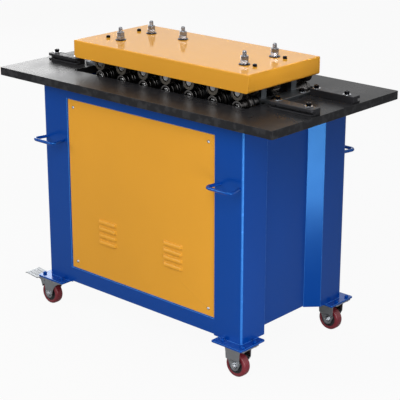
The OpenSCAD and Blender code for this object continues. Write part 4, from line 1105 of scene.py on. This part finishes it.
class SEAM_OT_rolls(Operator):
    """Forming rolls on their shafts"""

    bl_idname = "seam.rolls"
    bl_label = "Rolls"

    def execute(self, context):
        for row, maker in (("lower", lower_roll_steel), ("upper", upper_roll_steel)):
            for number in range(1, ROLL_COUNT + 1):
                node = f"{row}_roll_{number}"
                box = node_box(node)
                bright = nuts_and_ends(box[1].y - box[0].y)
                piece = skin(node, maker, roll_nut_steel, rule=bright, width=0.0003)
                add_lathe_map(piece, middle(box), Vector((0, 1, 0)))
        return {"FINISHED"}


class SEAM_OT_gears(Operator):
    """Idler, transfer and drive gears"""

    bl_idname = "seam.gears"
    bl_label = "Gears"

    def execute(self, context):
        for number in range(1, IDLER_COUNT + 1):
            skin(f"idler_gear_{number}", gear_steel, width=0)
        skin("transfer_gear", gear_steel, width=0)
        skin("drive_shaft", gear_steel, width=0)
        return {"FINISHED"}


class SEAM_OT_guides(Operator):
    """Grooved guide bars and their bolts"""

    bl_idname = "seam.guides"
    bl_label = "Guides"

    def execute(self, context):
        for side in SIDES:
            for end in ("entry", "exit"):
                skin(f"{side}_{end}_guide", guide_steel, width=0.0007)
        skin("guide_bolts", black_oxide, bright_steel, rule=lower_than(WASHER_HEIGHT), width=0.0003)
        return {"FINISHED"}


class SEAM_OT_castors(Operator):
    """Castors with forks, plates, bolts, wheels and brake pedals"""

    bl_idname = "seam.castors"
    bl_label = "Castors"

    def execute(self, context):
        axle = lower_than(AXLE_HEIGHT)
        upper_end = above(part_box("rigid_forks")[1][2])
        skin("rigid_forks", zinc_steel, bright_steel, rule=axle, width=0.0005)
        skin("swivel_plates", zinc_steel, width=0.0005)
        skin("castor_bolts", zinc_steel, blue_enamel, rule=upper_end, width=0.0003)
        for side in SIDES:
            skin(f"{side}_swivel_fork", zinc_steel, bright_steel, rule=axle, width=0.0005)
            skin(f"{side}_brake_pedal", zinc_steel, width=0.0006, segments=3)
            for kind in ("fixed", "swivel"):
                node = f"{side}_{kind}_wheel"
                hub = within(HUB_RADIUS, middle(node_box(node)))
                skin(node, wheel_tread, wheel_hub, rule=hub, width=0.0004)
        return {"FINISHED"}


class SEAM_OT_drive(Operator):
    """Gearmotor in the cabinet"""

    bl_idname = "seam.drive"
    bl_label = "Gearmotor"

    def execute(self, context):
        skin("gear_motor", motor_enamel)
        return {"FINISHED"}


class SEAM_OT_controls(Operator):
    """Control box with start and stop buttons"""

    bl_idname = "seam.controls"
    bl_label = "Controls"

    def execute(self, context):
        skin("control_box", box_grey, width=0.0012, segments=3)
        skin("start_button", button_green, width=0.0008, segments=3)
        skin("stop_button", button_red, width=0.0008, segments=3)
        return {"FINISHED"}


class SEAM_OT_stage(Operator):
    """Floor, lamps, world and camera"""

    bl_idname = "seam.stage"
    bl_label = "Stage"

    def execute(self, context):
        make_floor(context.scene.seam_stage.floor)
        make_world()
        for row in LAMPS:
            make_lamp(*row)
        make_camera(context.scene.seam_stage)
        context.scene.view_settings.view_transform = "Standard"
        return {"FINISHED"}


OPERATORS = [
    SEAM_OT_stage, SEAM_OT_cabinet, SEAM_OT_panels, SEAM_OT_table, SEAM_OT_cover, SEAM_OT_head, SEAM_OT_rolls,
    SEAM_OT_gears, SEAM_OT_guides, SEAM_OT_castors, SEAM_OT_drive, SEAM_OT_controls,
]


class SEAM_PT_machine(Panel):
    """Buttons that build the machine's finishes and small parts"""

    bl_label = "Seam Machine"
    bl_idname = "SEAM_PT_machine"
    bl_space_type = "VIEW_3D"
    bl_region_type = "UI"
    bl_category = "Seam Machine"

    def draw(self, context):
        for operator in OPERATORS:
            self.layout.operator(operator.bl_idname)
        for key, group in SETTINGS.items():
            box = self.layout.box()
            for name in group.__annotations__:
                box.prop(getattr(context.scene, key), name)


def register():
    for group in SETTINGS.values():
        bpy.utils.register_class(group)
    for operator in OPERATORS:
        bpy.utils.register_class(operator)
    bpy.utils.register_class(SEAM_PT_machine)
    for key, group in SETTINGS.items():
        setattr(bpy.types.Scene, key, PointerProperty(type=group))


def unregister():
    for key in SETTINGS:
        delattr(bpy.types.Scene, key)
    bpy.utils.unregister_class(SEAM_PT_machine)
    for operator in reversed(OPERATORS):
        bpy.utils.unregister_class(operator)
    for group in reversed(SETTINGS.values()):
        bpy.utils.unregister_class(group)


def main():
    """Builds the scene."""
    register()
    for operator in OPERATORS:
        getattr(bpy.ops.seam, operator.bl_idname.split(".")[1])()
    boxes = {"cad": cad_bounds, "visual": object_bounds()}
    {key: [list(corner) for corner in box] for key, box in boxes.items()}


if __name__ == "__main__":
    main()
